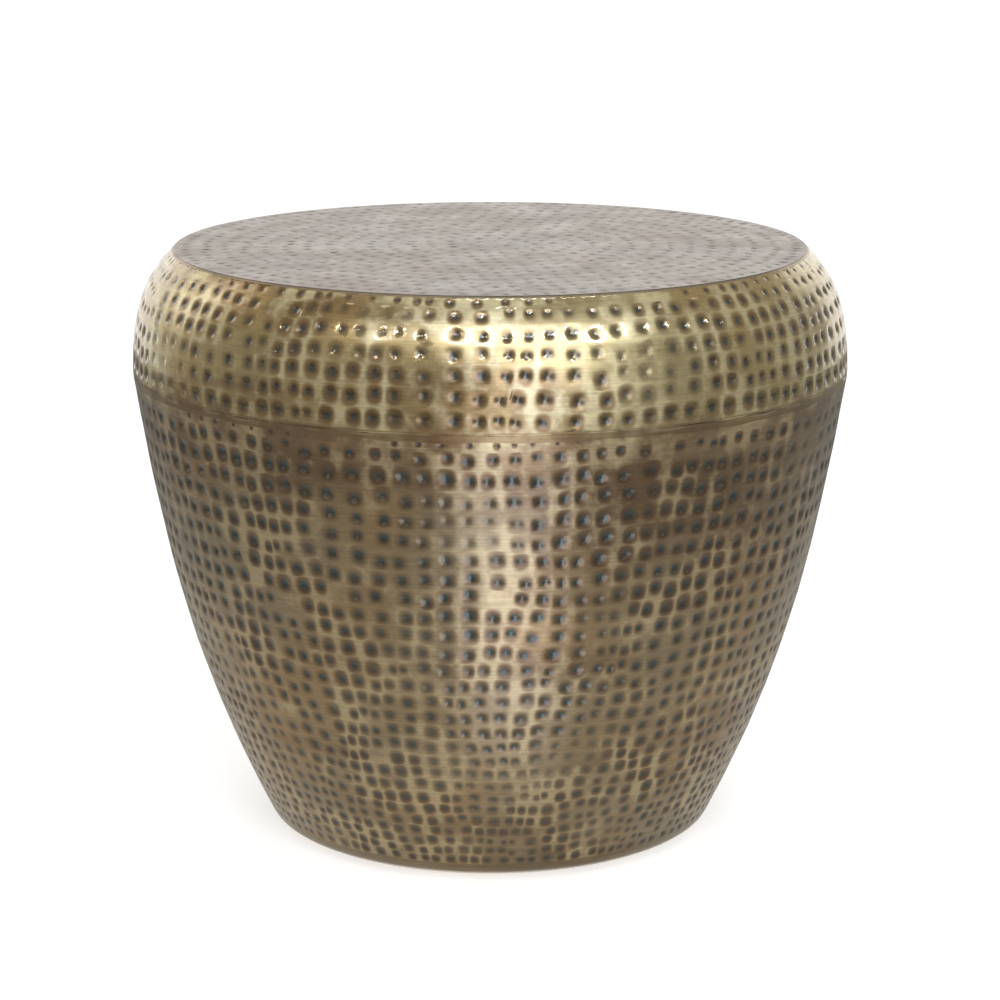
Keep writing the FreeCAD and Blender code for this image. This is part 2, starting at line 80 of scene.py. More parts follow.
# ---------------------------------------------------------------- section of the drum

@dataclass(frozen=True)
class Arc:
    """Arc of a section, run from one angle to another about its centre.

    The metal lies on the centre's side, or on the far side of a hollow arc.
    """

    centre: Pair
    radius: float
    start: float
    end: float
    hollow: bool = False

    @property
    def length(self) -> float:
        """Length along the arc."""
        return self.sweep * self.radius

    @property
    def sweep(self) -> float:
        """Angle that the arc turns through, in radians."""
        return abs(self.end - self.start)

    def at(self, along: Floats) -> tuple[Floats, Floats]:
        """Place a distance along the arc: the centre plus the radius, turned in step with the way.

        Args:
            along: distances from the arc's start.
        Returns:
            The points and the outward normals, as pairs of radius and height.
        """
        angle = self.start + (self.end - self.start) * along / self.length
        away = ray(angle)
        return np.array(self.centre) + self.radius * away, -away if self.hollow else away


@dataclass(frozen=True)
class Run:
    """Straight run of a section, with its outward normal."""

    start: Pair
    end: Pair
    outward: Pair
    sweep: float = 0.0

    @property
    def length(self) -> float:
        """Length of the run."""
        return math.dist(self.start, self.end)

    def at(self, along: Floats) -> tuple[Floats, Floats]:
        """Place a distance along the run: the start plus its share of the way to the end.

        Args:
            along: distances from the run's start.
        Returns:
            The points and the outward normals, as pairs of radius and height.
        """
        start = np.array(self.start)
        share = (along / self.length)[..., None]
        points = start + share * (np.array(self.end) - start)
        return points, np.broadcast_to(np.array(self.outward), points.shape)


class Section:
    """Outer line of a turned sheet, measured by the way along it."""

    def __init__(self, parts: Sequence[Arc | Run]) -> None:
        """Chain the arcs and runs end to end."""
        self.parts = list(parts)
        self.joints = np.cumsum([0.0] + [part.length for part in self.parts])
        self.length = float(self.joints[-1])

    def at(self, along: Floats) -> tuple[Floats, Floats]:
        """Points and outward normals, each read from the arc or run that the way falls on.

        Args:
            along: distances from the section's start, cut to its ends.
        Returns:
            The points and the outward normals, as pairs of radius and height.
        """
        along = np.clip(np.asarray(along, dtype=float), 0.0, self.length)
        points = np.zeros(along.shape + (2,))
        normals = np.zeros(along.shape + (2,))
        for part, low, high in zip(self.parts, self.joints[:-1], self.joints[1:]):
            inside = (along >= low) & (along <= high)
            points[inside], normals[inside] = part.at(along[inside] - low)
        return points, normals

    def way_to(self, height: float) -> float:
        """Way along to the first crossing of a height, by straight steps between close stations."""
        along = np.linspace(0.0, self.length, 20001)
        above = self.at(along)[0][:, 1] - height
        first = int(np.argmax(above[:-1] * above[1:] <= 0))
        share = above[first] / (above[first] - above[first + 1])
        return float(along[first] + share * (along[1] - along[0]))

    def stations(self, low: float, high: float, step: float) -> Floats:
        """Ways along from low to high that stop at each joint and divide each arc evenly.

        Args:
            low: the first way.
            high: the last way.
            step: the largest angle between stations on an arc, in radians.
        Returns:
            The ways, ascending.
        """
        ways = [low]
        for part, start, end in zip(self.parts, self.joints[:-1], self.joints[1:]):
            first, last = max(start, low), min(end, high)
            if last - first > 1e-6:
                turn = part.sweep * (last - first) / part.length
                pieces = max(1, math.ceil(turn / step))
                ways.extend(np.linspace(first, last, pieces + 1)[1:])
        return np.array(ways)


@dataclass(frozen=True)
class DrumLine:
    """The drum's outer line, with the named sizes of its solids (metres and degrees).

    Only rim_bend is smaller here, so that the crease round the top is crisp.
    """

    height: float = 450 * MM
    belly_radius: float = 271.5 * MM
    belly_drop: float = 87 * MM
    shoulder_inset: float = 32.7 * MM
    shoulder_turn: float = 12.0
    rim_lean: float = 50.0
    belly_bend: float = 97 * MM
    flank_turn: float = 8.7
    flank_bend: float = 2080 * MM
    flank_sweep: float = 3.3
    base_bend: float = 18 * MM
    foot_inset: float = 114.9 * MM
    gauge: float = 1.2 * MM
    top_gauge: float = 1.5 * MM
    rim_bend: float = 0.4 * MM
    rim_flange: float = 14 * MM
    skirt_drop: float = 4 * MM
    neck_lap: float = 14 * MM
    joggle_bend: float = 3 * MM
    braze_gap: float = 0.2 * MM
    foot_flange: float = 36 * MM
    lip_bend: float = 3 * MM
    lip_height: float = 10 * MM
    foot_height: float = 4 * MM

    @property
    def belly_z(self) -> float:
        """Height of the widest ring."""
        return self.height - self.belly_drop

    @property
    def top_radius(self) -> float:
        """Radius of the crease round the top."""
        return self.belly_radius - self.shoulder_inset

    @property
    def disc_z(self) -> float:
        """Height of the top disc's underside."""
        return self.height - self.top_gauge

    @property
    def disc_under_radius(self) -> float:
        """Radius of the disc's underside, its edge ground to the shoulder's slope."""
        return self.top_radius + self.top_gauge * math.tan(math.radians(self.rim_lean))

    @property
    def belly_centre(self) -> Pair:
        """Centre of the turn under the widest ring."""
        return self.belly_radius - self.belly_bend, self.belly_z

    @property
    def neck_radius(self) -> float:
        """Bend of the neck's outer face, one gauge and one braze gap inside the belly's."""
        return self.belly_bend - self.gauge - self.braze_gap

    @property
    def skirt_angle(self) -> float:
        """Angle of the skirt's edge below the widest ring."""
        return math.asin(self.skirt_drop / self.belly_bend)

    @property
    def joggle_angle(self) -> float:
        """Angle at which the joggle leaves the belly's turn."""
        outer = self.belly_bend - self.joggle_bend
        inner = self.neck_radius + self.joggle_bend
        spread = (outer ** 2 + inner ** 2 - 4 * self.joggle_bend ** 2) / (2 * outer * inner)
        return self.skirt_angle + math.acos(spread)

    def about_belly(self, radius: float, angle: float) -> Pair:
        """Point at a radius and an angle about the belly turn's centre."""
        across, up = self.belly_centre
        return across + radius * math.cos(angle), up + radius * math.sin(angle)

    def shoulder(self) -> Section:
        """Shoulder sheet, from its flange's inner edge out over the rim and down to its skirt.

        With the turn t and the lean l, the radii of the upper arc and the shoulder's arc solve
        drop = upper sin t + shoulder (sin l - sin t) and
        inset = upper (1 - cos t) + shoulder (cos t - cos l).

        Returns:
            The section, which runs downwards.
        """
        turn, lean = math.radians(self.shoulder_turn), math.radians(self.rim_lean)
        weights = np.array([[math.sin(turn), math.sin(lean) - math.sin(turn)],
                            [1 - math.cos(turn), math.cos(turn) - math.cos(lean)]])
        upper, bend = np.linalg.solve(weights, [self.belly_drop, self.shoulder_inset])
        upper_centre = (self.belly_radius - upper, self.belly_z)
        centre = (upper_centre[0] + (upper - bend) * math.cos(turn),
                  upper_centre[1] + (upper - bend) * math.sin(turn))
        rim_z = self.disc_z - self.rim_bend
        rise = rim_z - centre[1]
        rim_centre = (centre[0] + math.sqrt((bend - self.rim_bend) ** 2 - rise ** 2), rim_z)
        rim_start = math.atan2(rise, rim_centre[0] - centre[0])
        flange_inner = self.disc_under_radius - self.rim_flange
        return Section([
            Run((flange_inner, self.disc_z), (rim_centre[0], self.disc_z), (0.0, 1.0)),
            Arc(rim_centre, self.rim_bend, math.pi / 2, rim_start),
            Arc(centre, float(bend), rim_start, turn),
            Arc(upper_centre, float(upper), turn, 0.0),
            Arc(self.belly_centre, self.belly_bend, 0.0, -self.skirt_angle),
        ])

    def lower(self) -> Section:
        """Lower sheet, from the top of its neck down to the top of its foot flange's lip.

        The wall's radius follows from its start at the flank's end and its run into the base turn:
        (reach squared - base bend squared) / (2 (reach along the flank's end - base bend)).

        Returns:
            The section, which runs downwards, then inwards and up.
        """
        neck_end = math.asin((self.neck_lap - self.skirt_drop) / self.neck_radius)
        hollow = self.about_belly(self.neck_radius + self.joggle_bend, -self.skirt_angle)
        crown = self.about_belly(self.belly_bend - self.joggle_bend, -self.joggle_angle)
        slope = math.atan2(hollow[1] - crown[1], hollow[0] - crown[0])
        flank_start = math.radians(self.flank_turn)
        flank_end = flank_start + math.radians(self.flank_sweep)
        flank = self.about_belly(self.belly_bend - self.flank_bend, -flank_start)
        end_ray = np.array([math.cos(flank_end), -math.sin(flank_end)])
        flank_foot = np.array(flank) + self.flank_bend * end_ray
        base_radius = self.belly_radius - self.foot_inset
        base = np.array([base_radius, self.foot_height + self.base_bend])
        reach = flank_foot - base
        wall_bend = float((reach @ reach - self.base_bend ** 2) / (2 * (reach @ end_ray - self.base_bend)))
        wall = flank_foot - wall_bend * end_ray
        wall_end = math.atan2(wall[1] - base[1], base[0] - wall[0])
        lip_radius = base_radius - self.foot_flange
        lip_centre = (lip_radius + self.lip_bend, self.foot_height + self.lip_bend)
        return Section([
            Arc(self.belly_centre, self.neck_radius, neck_end, -self.skirt_angle),
            Arc(hollow, self.joggle_bend, math.pi - self.skirt_angle, math.pi + slope, hollow=True),
            Arc(crown, self.joggle_bend, slope, -self.joggle_angle),
            Arc(self.belly_centre, self.belly_bend, -self.joggle_angle, -flank_start),
            Arc(flank, self.flank_bend, -flank_start, -flank_end),
            Arc(tuple(wall), wall_bend, -flank_end, -wall_end),
            Arc(tuple(base), self.base_bend, -wall_end, -math.pi / 2),
            Run((base_radius, self.foot_height), (lip_centre[0], self.foot_height), (0.0, -1.0)),
            Arc(lip_centre, self.lip_bend, -math.pi / 2, -math.pi),
            Run((lip_radius, lip_centre[1]), (lip_radius, self.foot_height + self.lip_height), (-1.0, 0.0)),
        ])


# ---------------------------------------------------------------- meshes

def plain_mark(rubbing: float) -> Floats:
    """A corner's five numbers on plain sheet: outside any mark, with no dark and so much rubbing."""
    return np.array([1.6, 0.0, 0.5, 0.0, rubbing])


PLAIN = plain_mark(0.35)
RUBBED = plain_mark(1.6)


def every_other(ring: tuple[Ints, Floats], first: int) -> tuple[Ints, Floats]:
    """Every other point of a ring and of its marks."""
    index, mark = ring
    return index[..., first::2], mark[..., first::2, :]


@dataclass
class MeshParts:
    """Points and faces of a mesh that is being gathered, with the hammer mark that each corner lies in.

    A corner's mark is five numbers: its place in the mark, as two shares of the mark's reach from
    the mark's middle, then the mark's shade, its fullness, and how rubbed its crest is.
    """

    points: list[Floats] = field(default_factory=list)
    faces: list[Ints] = field(default_factory=list)
    marks: list[Floats] = field(default_factory=list)
    creases: list[Ints] = field(default_factory=list)
    count: int = 0

    def add(self, places: Floats) -> Ints:
        """Add points.

        Args:
            places: coordinates, one row of three for each point, in any leading shape.
        Returns:
            The points' indices, in the leading shape of places.
        """
        shape = places.shape[:-1]
        total = int(np.prod(shape))
        self.points.append(places.reshape(total, 3))
        indices = np.arange(self.count, self.count + total).reshape(shape)
        self.count += total
        return indices

    def join(self, outer: Ints, inner: Ints, outer_mark: Floats = PLAIN, inner_mark: Floats = PLAIN) -> None:
        """Fill between two closed rings, or two stacks of rings, that have equal or doubled counts.

        The outer ring runs anticlockwise as seen from outside, and the inner one lies to its left.

        Args:
            outer: indices, with the ring along the last axis.
            inner: indices of as many points, twice as many or half as many.
            outer_mark: marks of the outer ring's corners, with the five numbers along a further axis.
            inner_mark: marks of the inner ring's corners.
        """
        rings = []
        for index, mark in ((outer, outer_mark), (inner, inner_mark)):
            mark = np.broadcast_to(mark, index.shape + PLAIN.shape)
            rings.append((index, mark))
            rings.append((np.roll(index, -1, axis=-1), np.roll(mark, -1, axis=-2)))
        near, near_next, far, far_next = rings
        if outer.shape == inner.shape:
            corners = [[near, near_next, far_next, far]]
        elif inner.shape[-1] == 2 * outer.shape[-1]:
            even, odd, later = every_other(far, 0), every_other(far, 1), every_other(far_next, 1)
            corners = [[near, odd, even], [near, near_next, odd], [near_next, later, odd]]
        else:
            even, odd, later = every_other(near, 0), every_other(near, 1), every_other(near_next, 1)
            corners = [[even, odd, far], [odd, far_next, far], [odd, later, far_next]]
        for corner in corners:
            self.faces.append(np.stack([index for index, _ in corner], axis=-1).reshape(-1, len(corner)))
            self.marks.append(np.stack([mark for _, mark in corner], axis=-2).reshape(-1, PLAIN.size))

    def fan(self, rim: Ints, middle: Ints, rim_mark: Floats = PLAIN, middle_mark: Floats = PLAIN) -> None:
        """Close rings, each to its own middle point.

        Args:
            rim: indices, with the ring along the last axis.
            middle: index of each ring's middle point.
            rim_mark: marks of the rims' corners.
            middle_mark: marks of the middles.
        """
        rim_mark = np.broadcast_to(rim_mark, rim.shape + PLAIN.shape)
        middle_mark = np.broadcast_to(middle_mark, middle.shape + PLAIN.shape)[..., None, :]
        middle_mark = np.broadcast_to(middle_mark, rim_mark.shape)
        middles = np.broadcast_to(middle[..., None], rim.shape)
        self.faces.append(np.stack([rim, np.roll(rim, -1, axis=-1), middles], axis=-1).reshape(-1, 3))
        marks = np.stack([rim_mark, np.roll(rim_mark, -1, axis=-2), middle_mark], axis=-2)
        self.marks.append(marks.reshape(-1, PLAIN.size))

    def build(self, name: str) -> bpy.types.Object:
        """Make the object, smooth but for its creases, with the marks on its corners.

        Args:
            name: the object's name.
        Returns:
            The object, linked to the scene.
        """
        mesh = bpy.data.meshes.new(name)
        faces = [face for block in self.faces for face in block.tolist()]
        mesh.from_pydata(np.concatenate(self.points).tolist(), [], faces)
        marks = np.concatenate(self.marks).astype(np.float32)
        places = np.concatenate([marks[:, :2], np.zeros((len(marks), 1), np.float32)], axis=1)
        for key, values in (("place_in_mark", places), ("mark_traits", marks[:, 2:])):
            attribute = mesh.attributes.new(key, "FLOAT_VECTOR", "CORNER")
            attribute.data.foreach_set("vector", np.ascontiguousarray(values).reshape(-1))
        mesh.polygons.foreach_set("use_smooth", [True] * len(mesh.polygons))
        mesh.update()
        self.fold(mesh)
        piece = bpy.data.objects.new(name, mesh)
        bpy.context.scene.collection.objects.link(piece)
        return piece

    def fold(self, mesh: bpy.types.Mesh) -> None:
        """Mark the edges along each crease as sharp: those that join two points of the same ring."""
        ring_of = np.zeros(self.count, dtype=np.int64)
        for number, ring in enumerate(self.creases, start=1):
            ring_of[ring] = number
        ends = np.empty(2 * len(mesh.edges), dtype=np.int32)
        mesh.edges.foreach_get("vertices", ends)
        rings = ring_of[ends.reshape(-1, 2)]
        sharp = (rings[:, 0] > 0) & (rings[:, 0] == rings[:, 1])
        mesh.attributes.new("sharp_edge", "BOOLEAN", "EDGE").data.foreach_set("value", sharp)


def waves(rng: Random, angle: Floats, lowest: int, highest: int, shift: Floats | float = 0.0) -> Floats:
    """Smooth wander round the drum: a sum of cosines with whole numbers of waves and seeded phases.

    Args:
        rng: source of the phases.
        angle: angles round the drum.
        lowest: fewest waves in a turn.
        highest: most waves in a turn.
        shift: further phase, which slides each wave at its own pace.
    Returns:
        Values mostly between -1 and 1.
    """
    counts = np.arange(lowest, highest + 1)
    phases = rng.uniform(0, TURN, counts.size)
    paces = rng.uniform(-1, 1, counts.size)
    total = sum(np.cos(count * angle + phase + pace * shift)
                for count, phase, pace in zip(counts, phases, paces))
    return np.asarray(total) / math.sqrt(counts.size)


# ---------------------------------------------------------------- hammer marks

@dataclass(frozen=True)
class Ring:
    """One ring of points inside a hammer mark's cell, at a share of the way from its middle to its rim."""

    share: float
    doubled: bool = False


FINE_RINGS = (Ring(0.86, True), Ring(0.66, True), Ring(0.46, True), Ring(0.28), Ring(0.13))
ROUND_RINGS = (Ring(0.82), Ring(0.55), Ring(0.28))
SCATTER = 0.55
BLOW_SCATTER = 0.6
DISC_STRAY = 1.2
DISC_SWAY = 1.6 * MM
ROUNDNESS = 0.55


@dataclass(frozen=True)
class HammerWork:
    """How a sheet is hammered: a round punched bowl in the middle of each cell's shallow basin.

    The bowl's depth is for a cell whose nearest rim is at full_reach, and its width is a share of
    that reach. A blow b leaves the mark dark by dark_gain b - dark_loss. Strays and dips scatter by
    SCATTER of their named sizes, on the disc DISC_STRAY times as far, and blows by BLOW_SCATTER of
    depth_spread. ROUNDNESS is how far the dark in a mark follows its cell.
    """

    full_reach: float = 7.0 * MM
    basin_depth: float = 0.30 * MM
    bowl_depth: float = 1.7 * MM
    bowl_width: float = 0.45
    bowl_edge: float = 2.0
    crest_dip: float = 0.15 * MM
    depth_spread: float = 0.26
    depth_limits: Pair = (0.2, 1.1)
    stray: float = 1.5 * MM
    missed_share: float = 0.012
    missed_force: float = 0.15
    dark_gain: float = 1.45
    dark_loss: float = 0.25
    rings: tuple[Ring, ...] = ROUND_RINGS

    def depth(self, share: float) -> float:
        """Depth at a share of the way from a mark's middle to its cell's rim.

        The basin is basin (1 - share squared) squared, and the bowl a bell,
        bowl exp(-(share / width) to the edge power).

        Args:
            share: the share, from 0 to 1.
        Returns:
            The depth, in metres.
        """
        bell = math.exp(-(share / self.bowl_width) ** self.bowl_edge)
        return self.basin_depth * (1 - share ** 2) ** 2 + self.bowl_depth * bell


@dataclass
class Cells:
    """Hammer marks laid out on a sheet's two parameters.

    rims holds, for each mark, the indices of the shared points round its cell, anticlockwise as
    seen from outside. scale is the length of one unit of the first parameter at each mark, and
    force is how hard its blow was.
    """

    centres: Floats
    rims: Ints
    rim_places: Floats
    scale: Floats
    force: Floats
    period: float


@dataclass
class Marks:
    """Each mark's reach to its nearest rim, share of the full depth, shade, and fullness of its dark."""

    reach: Floats
    depth: Floats
    tone: Floats
    fullness: Floats

    def traits(self, place: Floats) -> Floats:
        """The marks' five numbers at places inside them.

        Args:
            place: places in the marks, as shares of their reach, with the marks along the first axis.
        Returns:
            The numbers, along the last axis.
        """
        shape = place.shape[:-1]
        own = [np.broadcast_to(value.reshape(-1, *[1] * (len(shape) - 1)), shape)
               for value in (self.tone, self.fullness, np.ones_like(self.tone))]
        return np.concatenate([place, np.stack(own, axis=-1)], axis=-1)

    def place(self, rays: Floats, own_reach: Floats, share: float) -> Floats:
        """Places in the marks: share (1 + ROUNDNESS (own reach / nearest - 1) share cubed), along a ray.

        Args:
            rays: directions from the marks' middles.
            own_reach: distances to the rims in those directions.
            share: share of the way to the rim.
        Returns:
            The places.
        """
        spare = ROUNDNESS * (own_reach / self.reach[:, None] - 1)
        return rays * (share * (1 + spare * share ** 3))[..., None]


def woven(values: Floats, between: Floats) -> Floats:
    """Values round each ring, with those that lie between them put in by turns."""
    return np.stack([values, between], axis=2).reshape(len(values), -1, *values.shape[2:])


@dataclass
class Hammer:
    """Hammer on a sheet: parts is the sheet's mesh, and lay turns places and depths into coordinates."""

    parts: MeshParts
    lay: Lay
    work: HammerWork
    rng: Random

    def strike(self, reach: Floats, force: Floats) -> Marks:
        """Give each mark its own size, within the room that its cell leaves it.

        Args:
            reach: for each mark, the distances to the points on its cell's rim.
            force: for each mark, how hard the blow was, from 0 for none to 1.
        Returns:
            The marks.
        """
        work, rng, count = self.work, self.rng, len(reach)
        nearest = reach.min(axis=1)
        blow = force * np.where(rng.uniform(0, 1, count) < work.missed_share, work.missed_force, 1.0)
        spread = 1 + work.depth_spread * rng.normal(0, BLOW_SCATTER, count)
        depth = blow * spread * np.clip(nearest / work.full_reach, *work.depth_limits)
        fullness = np.clip(work.dark_gain * blow - work.dark_loss, 0.0, 1.0)
        return Marks(nearest, depth, rng.uniform(0, 1, count), fullness)

    def sink(self, cells: Cells, at_rim: Ints) -> None:
        """Fill each cell with rings of points that go down its mark, and a middle point.

        Each ring's points lie in the directions of the cell's own rim points, and halfway between
        them where the ring is doubled. A ring at share s lies s of the way to the rim, and keeps to
        a circle near the middle: its reach is s times the mean of the nearest rim's reach and the
        direction's own, weighted 1 - s cubed to s cubed.

        Args:
            cells: the layout.
            at_rim: the mesh's indices of the rim points.
        """
        offset = cells.rim_places[cells.rims] - cells.centres[:, None, :]
        if cells.period:
            offset[..., 0] = (offset[..., 0] + cells.period / 2) % cells.period - cells.period / 2
        offset[..., 0] *= cells.scale[:, None]
        reach = np.linalg.norm(offset, axis=-1)
        rays = offset / reach[..., None]
        halfway = rays + np.roll(rays, -1, axis=1)
        halfway /= np.linalg.norm(halfway, axis=-1)[..., None]
        single = (rays, reach)
        double = (woven(rays, halfway), woven(reach, 0.5 * (reach + np.roll(reach, -1, axis=1))))
        marks = self.strike(reach, cells.force)
        outer = at_rim[cells.rims]
        outer_mark = marks.traits(marks.place(*single, 1.0))
        for ring in self.work.rings:
            rays, own_reach = double if ring.doubled else single
            circle = marks.reach[:, None] * (1 - ring.share ** 3)
            step = rays * (ring.share * (circle + own_reach * ring.share ** 3))[..., None]
            step[..., 0] /= cells.scale[:, None]
            depth = np.broadcast_to((self.work.depth(ring.share) * marks.depth)[:, None], step.shape[:-1])
            inner = self.parts.add(self.lay(cells.centres[:, None, :] + step, depth))
            inner_mark = marks.traits(marks.place(rays, own_reach, ring.share))
            self.parts.join(outer, inner, outer_mark, inner_mark)
            outer, outer_mark = inner, inner_mark
        middle = self.parts.add(self.lay(cells.centres, self.work.depth(0.0) * marks.depth))
        self.parts.fan(outer, middle, outer_mark, marks.traits(np.zeros((len(reach), 2))))

    def cover(self, cells: Cells, flat: Sequence[Ints]) -> Ints:
        """Add a field of hammer marks to the sheet.

        Args:
            cells: the marks' layout.
            flat: rings of rim points that meet plain sheet and stay at its level.
        Returns:
            The mesh's indices of the rim points.
        """
        dip = np.abs(self.rng.normal(0, SCATTER, len(cells.rim_places))) * self.work.crest_dip
        for ring in flat:
            dip[ring] = 0.0
        at_rim = self.parts.add(self.lay(cells.rim_places, dip))
        self.sink(cells, at_rim)
        return at_rim


class SheetSurface:
    """Turned sheet: a place is an angle round the drum, a way along the section and a depth.

    The point is the section's point at that way, moved in along the normal by the depth and turned
    to the angle. The hammer has also left broad dents, which are a sum of dent_waves cosines: each
    has a whole number of waves round the drum, and so many radians in a metre down it.
    """

    dent_waves = 26
    waves_round = (6, 46)
    waves_down = (-150, 150)
    fade_out = 7 * MM

    def __init__(self, section: Section, span: Pair, swell: float, rng: Random) -> None:
        """Keep the section and the span that is hammered, and start an empty mesh.

        Args:
            section: the sheet's outer line.
            span: ways along the section between which the hammer has left the sheet uneven.
            swell: how deep the unevenness is.
            rng: source of its waves.
        """
        self.section = section
        self.span = span
        self.swell = swell
        count = self.dent_waves
        self.waves = list(zip(rng.integers(*self.waves_round, count), rng.uniform(*self.waves_down, count),
                              rng.uniform(0, TURN, count)))
        self.parts = MeshParts()

    def unevenness(self, angle: Floats, along: Floats) -> Floats:
        """Depth of the broad dents, which die out at the span's ends.

        It is swell times (0.5 + half the waves' sum / the root of twice their number), cut to 0 and
        1.4, and rises evenly from each end of the span over fade_out.

        Args:
            angle: angles round the drum.
            along: ways along the section.
        Returns:
            The depths.
        """
        total = sum(np.cos(turns * angle + down * along + phase) for turns, down, phase in self.waves)
        low, high = self.span
        fade = np.clip((along - low) / self.fade_out, 0, 1) * np.clip((high - along) / self.fade_out, 0, 1)
        dent = np.clip(0.5 + np.asarray(total) / math.sqrt(2 * len(self.waves)) / 2, 0, 1.4)
        return self.swell * fade * dent

    def point(self, angle: Floats, along: Floats, depth: Floats | float) -> Floats:
        """Points of the sheet in space.

        Args:
            angle: angles round the drum.
            along: ways along the section.
            depth: distances in from the outer face, to which the broad dents are added.
        Returns:
            The coordinates, in the arrays' common shape with a last axis of three.
        """
        angle, along, depth = np.broadcast_arrays(angle, along, depth)
        depth = depth + self.unevenness(angle, along)
        line, normal = self.section.at(along)
        return turned(line[..., 0] - normal[..., 0] * depth, line[..., 1] - normal[..., 1] * depth, angle)

    def lay(self, places: Floats, depth: Floats) -> Floats:
        """Points at places, each an angle and a way along, and at depths."""
        return self.point(places[..., 0], places[..., 1], depth)

    def ring(self, angle: Floats, along: Floats | float, depth: Floats | float) -> Ints:
        """Add one ring of plain sheet."""
        return self.parts.add(self.point(angle, np.asarray(along), depth))

    def strip(self, first: Ints, angle: Floats, ways: Floats | Sequence[float],
              depth: float | Floats | Sequence[float], *, back: bool = False) -> Ints:
        """Carry a ring of plain sheet along the section.

        Args:
            first: indices of the ring that the strip starts from.
            angle: angles of the ring's points.
            ways: where the following rings lie.
            depth: depth of the following rings, one for all or one each.
            back: whether the strip runs towards the section's start.
        Returns:
            The indices of the last ring.
        """
        depths = np.broadcast_to(np.asarray(depth, dtype=float), (len(ways),))
        for way, deep in zip(ways, depths):
            ring = self.ring(angle, way, deep)
            self.parts.join(*((first, ring) if back else (ring, first)))
            first = ring
        return first


@dataclass(frozen=True)
class Rows:
    """Rows of hammer marks round a sheet, from one way along its section to another.

    A mark wanders round by a share of its column, and sways along the section, less in rows
    narrower than calm_width. A narrow row that leads the others is struck only in places.
    """

    count: int
    columns: int
    first_pitch: float
    last_pitch: float
    ease: float = 1.0
    wander: float = 0.30
    sway: float = 1.6 * MM
    calm_width: float = 13 * MM
    force: float = 0.95
    force_sway: float = 0.30
    force_limits: Pair = (0.3, 1.1)
    lead: float = 0.0
    lead_force: float = 0.3
    lead_sway: float = 1.2

    @property
    def total(self) -> int:
        """How many rows there are, with the narrow one that leads."""
        return self.count + (self.lead > 0)

    def edges(self, low: float, high: float) -> Floats:
        """Ways of the rows' edges: pitches that ease from the first to the last, scaled to fit."""
        share = np.linspace(0, 1, self.count) ** self.ease
        pitches = self.first_pitch + (self.last_pitch - self.first_pitch) * share
        steps = np.concatenate([[0.0], np.cumsum(pitches)])
        edges = low + self.lead + (high - low - self.lead) * steps / steps[-1]
        return np.concatenate([[low], edges]) if self.lead else edges


def rows_of_cells(section: Section, rows: Rows, work: HammerWork, span: Pair,
                  rng: Random) -> tuple[Cells, Ints, Ints]:
    """Lay rows of marks round a sheet, and give each cell eight shared points on its rim.

    A mark's angle is its column's, plus a smooth wander and a stray of its own. A cell's corner is
    the mean of the four marks round it, and the point between two corners is the mean of the two
    marks beside it, so neighbours share their rims and the crests follow the marks.

    Args:
        section: the sheet's section.
        rows: the rows.
        work: the hammer work, for how far a mark strays.
        span: ways along the section where the rows start and end.
        rng: source of the wander and the strays.
    Returns:
        The cells, and the indices of the first and the last ring of rim points.
    """
    edges = rows.edges(*span)
    middle = (edges[:-1] + edges[1:]) / 2
    pitch = TURN / rows.columns
    row = np.arange(rows.total)[:, None]
    plain = np.broadcast_to(np.arange(rows.columns) * pitch, (rows.total, rows.columns))
    radius = section.at(middle)[0][:, 0][:, None]

    def wander(lowest: int, highest: int, slide: float) -> Floats:
        """Smooth wander of all the marks, whose waves slide on from row to row."""
        return waves(rng, plain, lowest, highest, shift=row * slide)

    def rims(points: Floats) -> Floats:
        """Points between the rows: means of neighbouring rows, and the span's ends outside them."""
        edge = np.concatenate([points[:1], (points[:-1] + points[1:]) / 2, points[-1:]])
        edge[0, :, 1], edge[-1, :, 1] = edges[0], edges[-1]
        return edge

    drift = wander(1, 9, 0.55) + 0.6 * wander(10, 24, 1.3)
    stray = rng.normal(0, SCATTER, (2, rows.total, rows.columns)) * work.stray
    angle = plain + rows.wander * pitch * drift + stray[0] / radius
    shrink = np.minimum(1.0, np.diff(edges)[:, None] / rows.calm_width)
    along = middle[:, None] + (rows.sway * wander(3, 14, 0.4) + stray[1]) * shrink
    along[0], along[-1] = (along[0] + middle[0]) / 2, (along[-1] + middle[-1]) / 2
    force = np.clip(rows.force + rows.force_sway * wander(2, 13, 0.9), *rows.force_limits)
    if rows.lead:
        force[0] = np.clip(rows.lead_force + rows.lead_sway * waves(rng, plain[0], 2, 9), 0.0, 1.0)
    later = np.roll(angle, -1, axis=1)
    later[:, -1] += TURN
    between = np.stack([(angle + later) / 2, (along + np.roll(along, -1, axis=1)) / 2], axis=-1)
    centres = np.stack([angle, along], axis=-1)
    blocks = [rims(between), rims(centres), between]
    sizes = [block.shape[0] * block.shape[1] for block in blocks]
    starts = np.cumsum([0] + sizes)
    corner_at, crest_at, between_at = (
        np.arange(start, start + size).reshape(-1, rows.columns) for start, size in zip(starts, sizes))
    corner_before, between_before = (np.roll(index, 1, axis=1) for index in (corner_at, between_at))
    round_cell = np.stack([corner_before[1:], crest_at[1:], corner_at[1:], between_at, corner_at[:-1],
                           crest_at[:-1], corner_before[:-1], between_before], axis=-1)
    scale = np.broadcast_to(radius, angle.shape).reshape(-1)
    places = np.concatenate([block.reshape(-1, 2) for block in blocks])
    cells = Cells(centres.reshape(-1, 2), round_cell.reshape(-1, 8), places, scale, force.reshape(-1), TURN)
    first, last = (np.stack([crest_at[edge], corner_at[edge]], axis=-1).reshape(-1) for edge in (0, -1))
    return cells, first, last


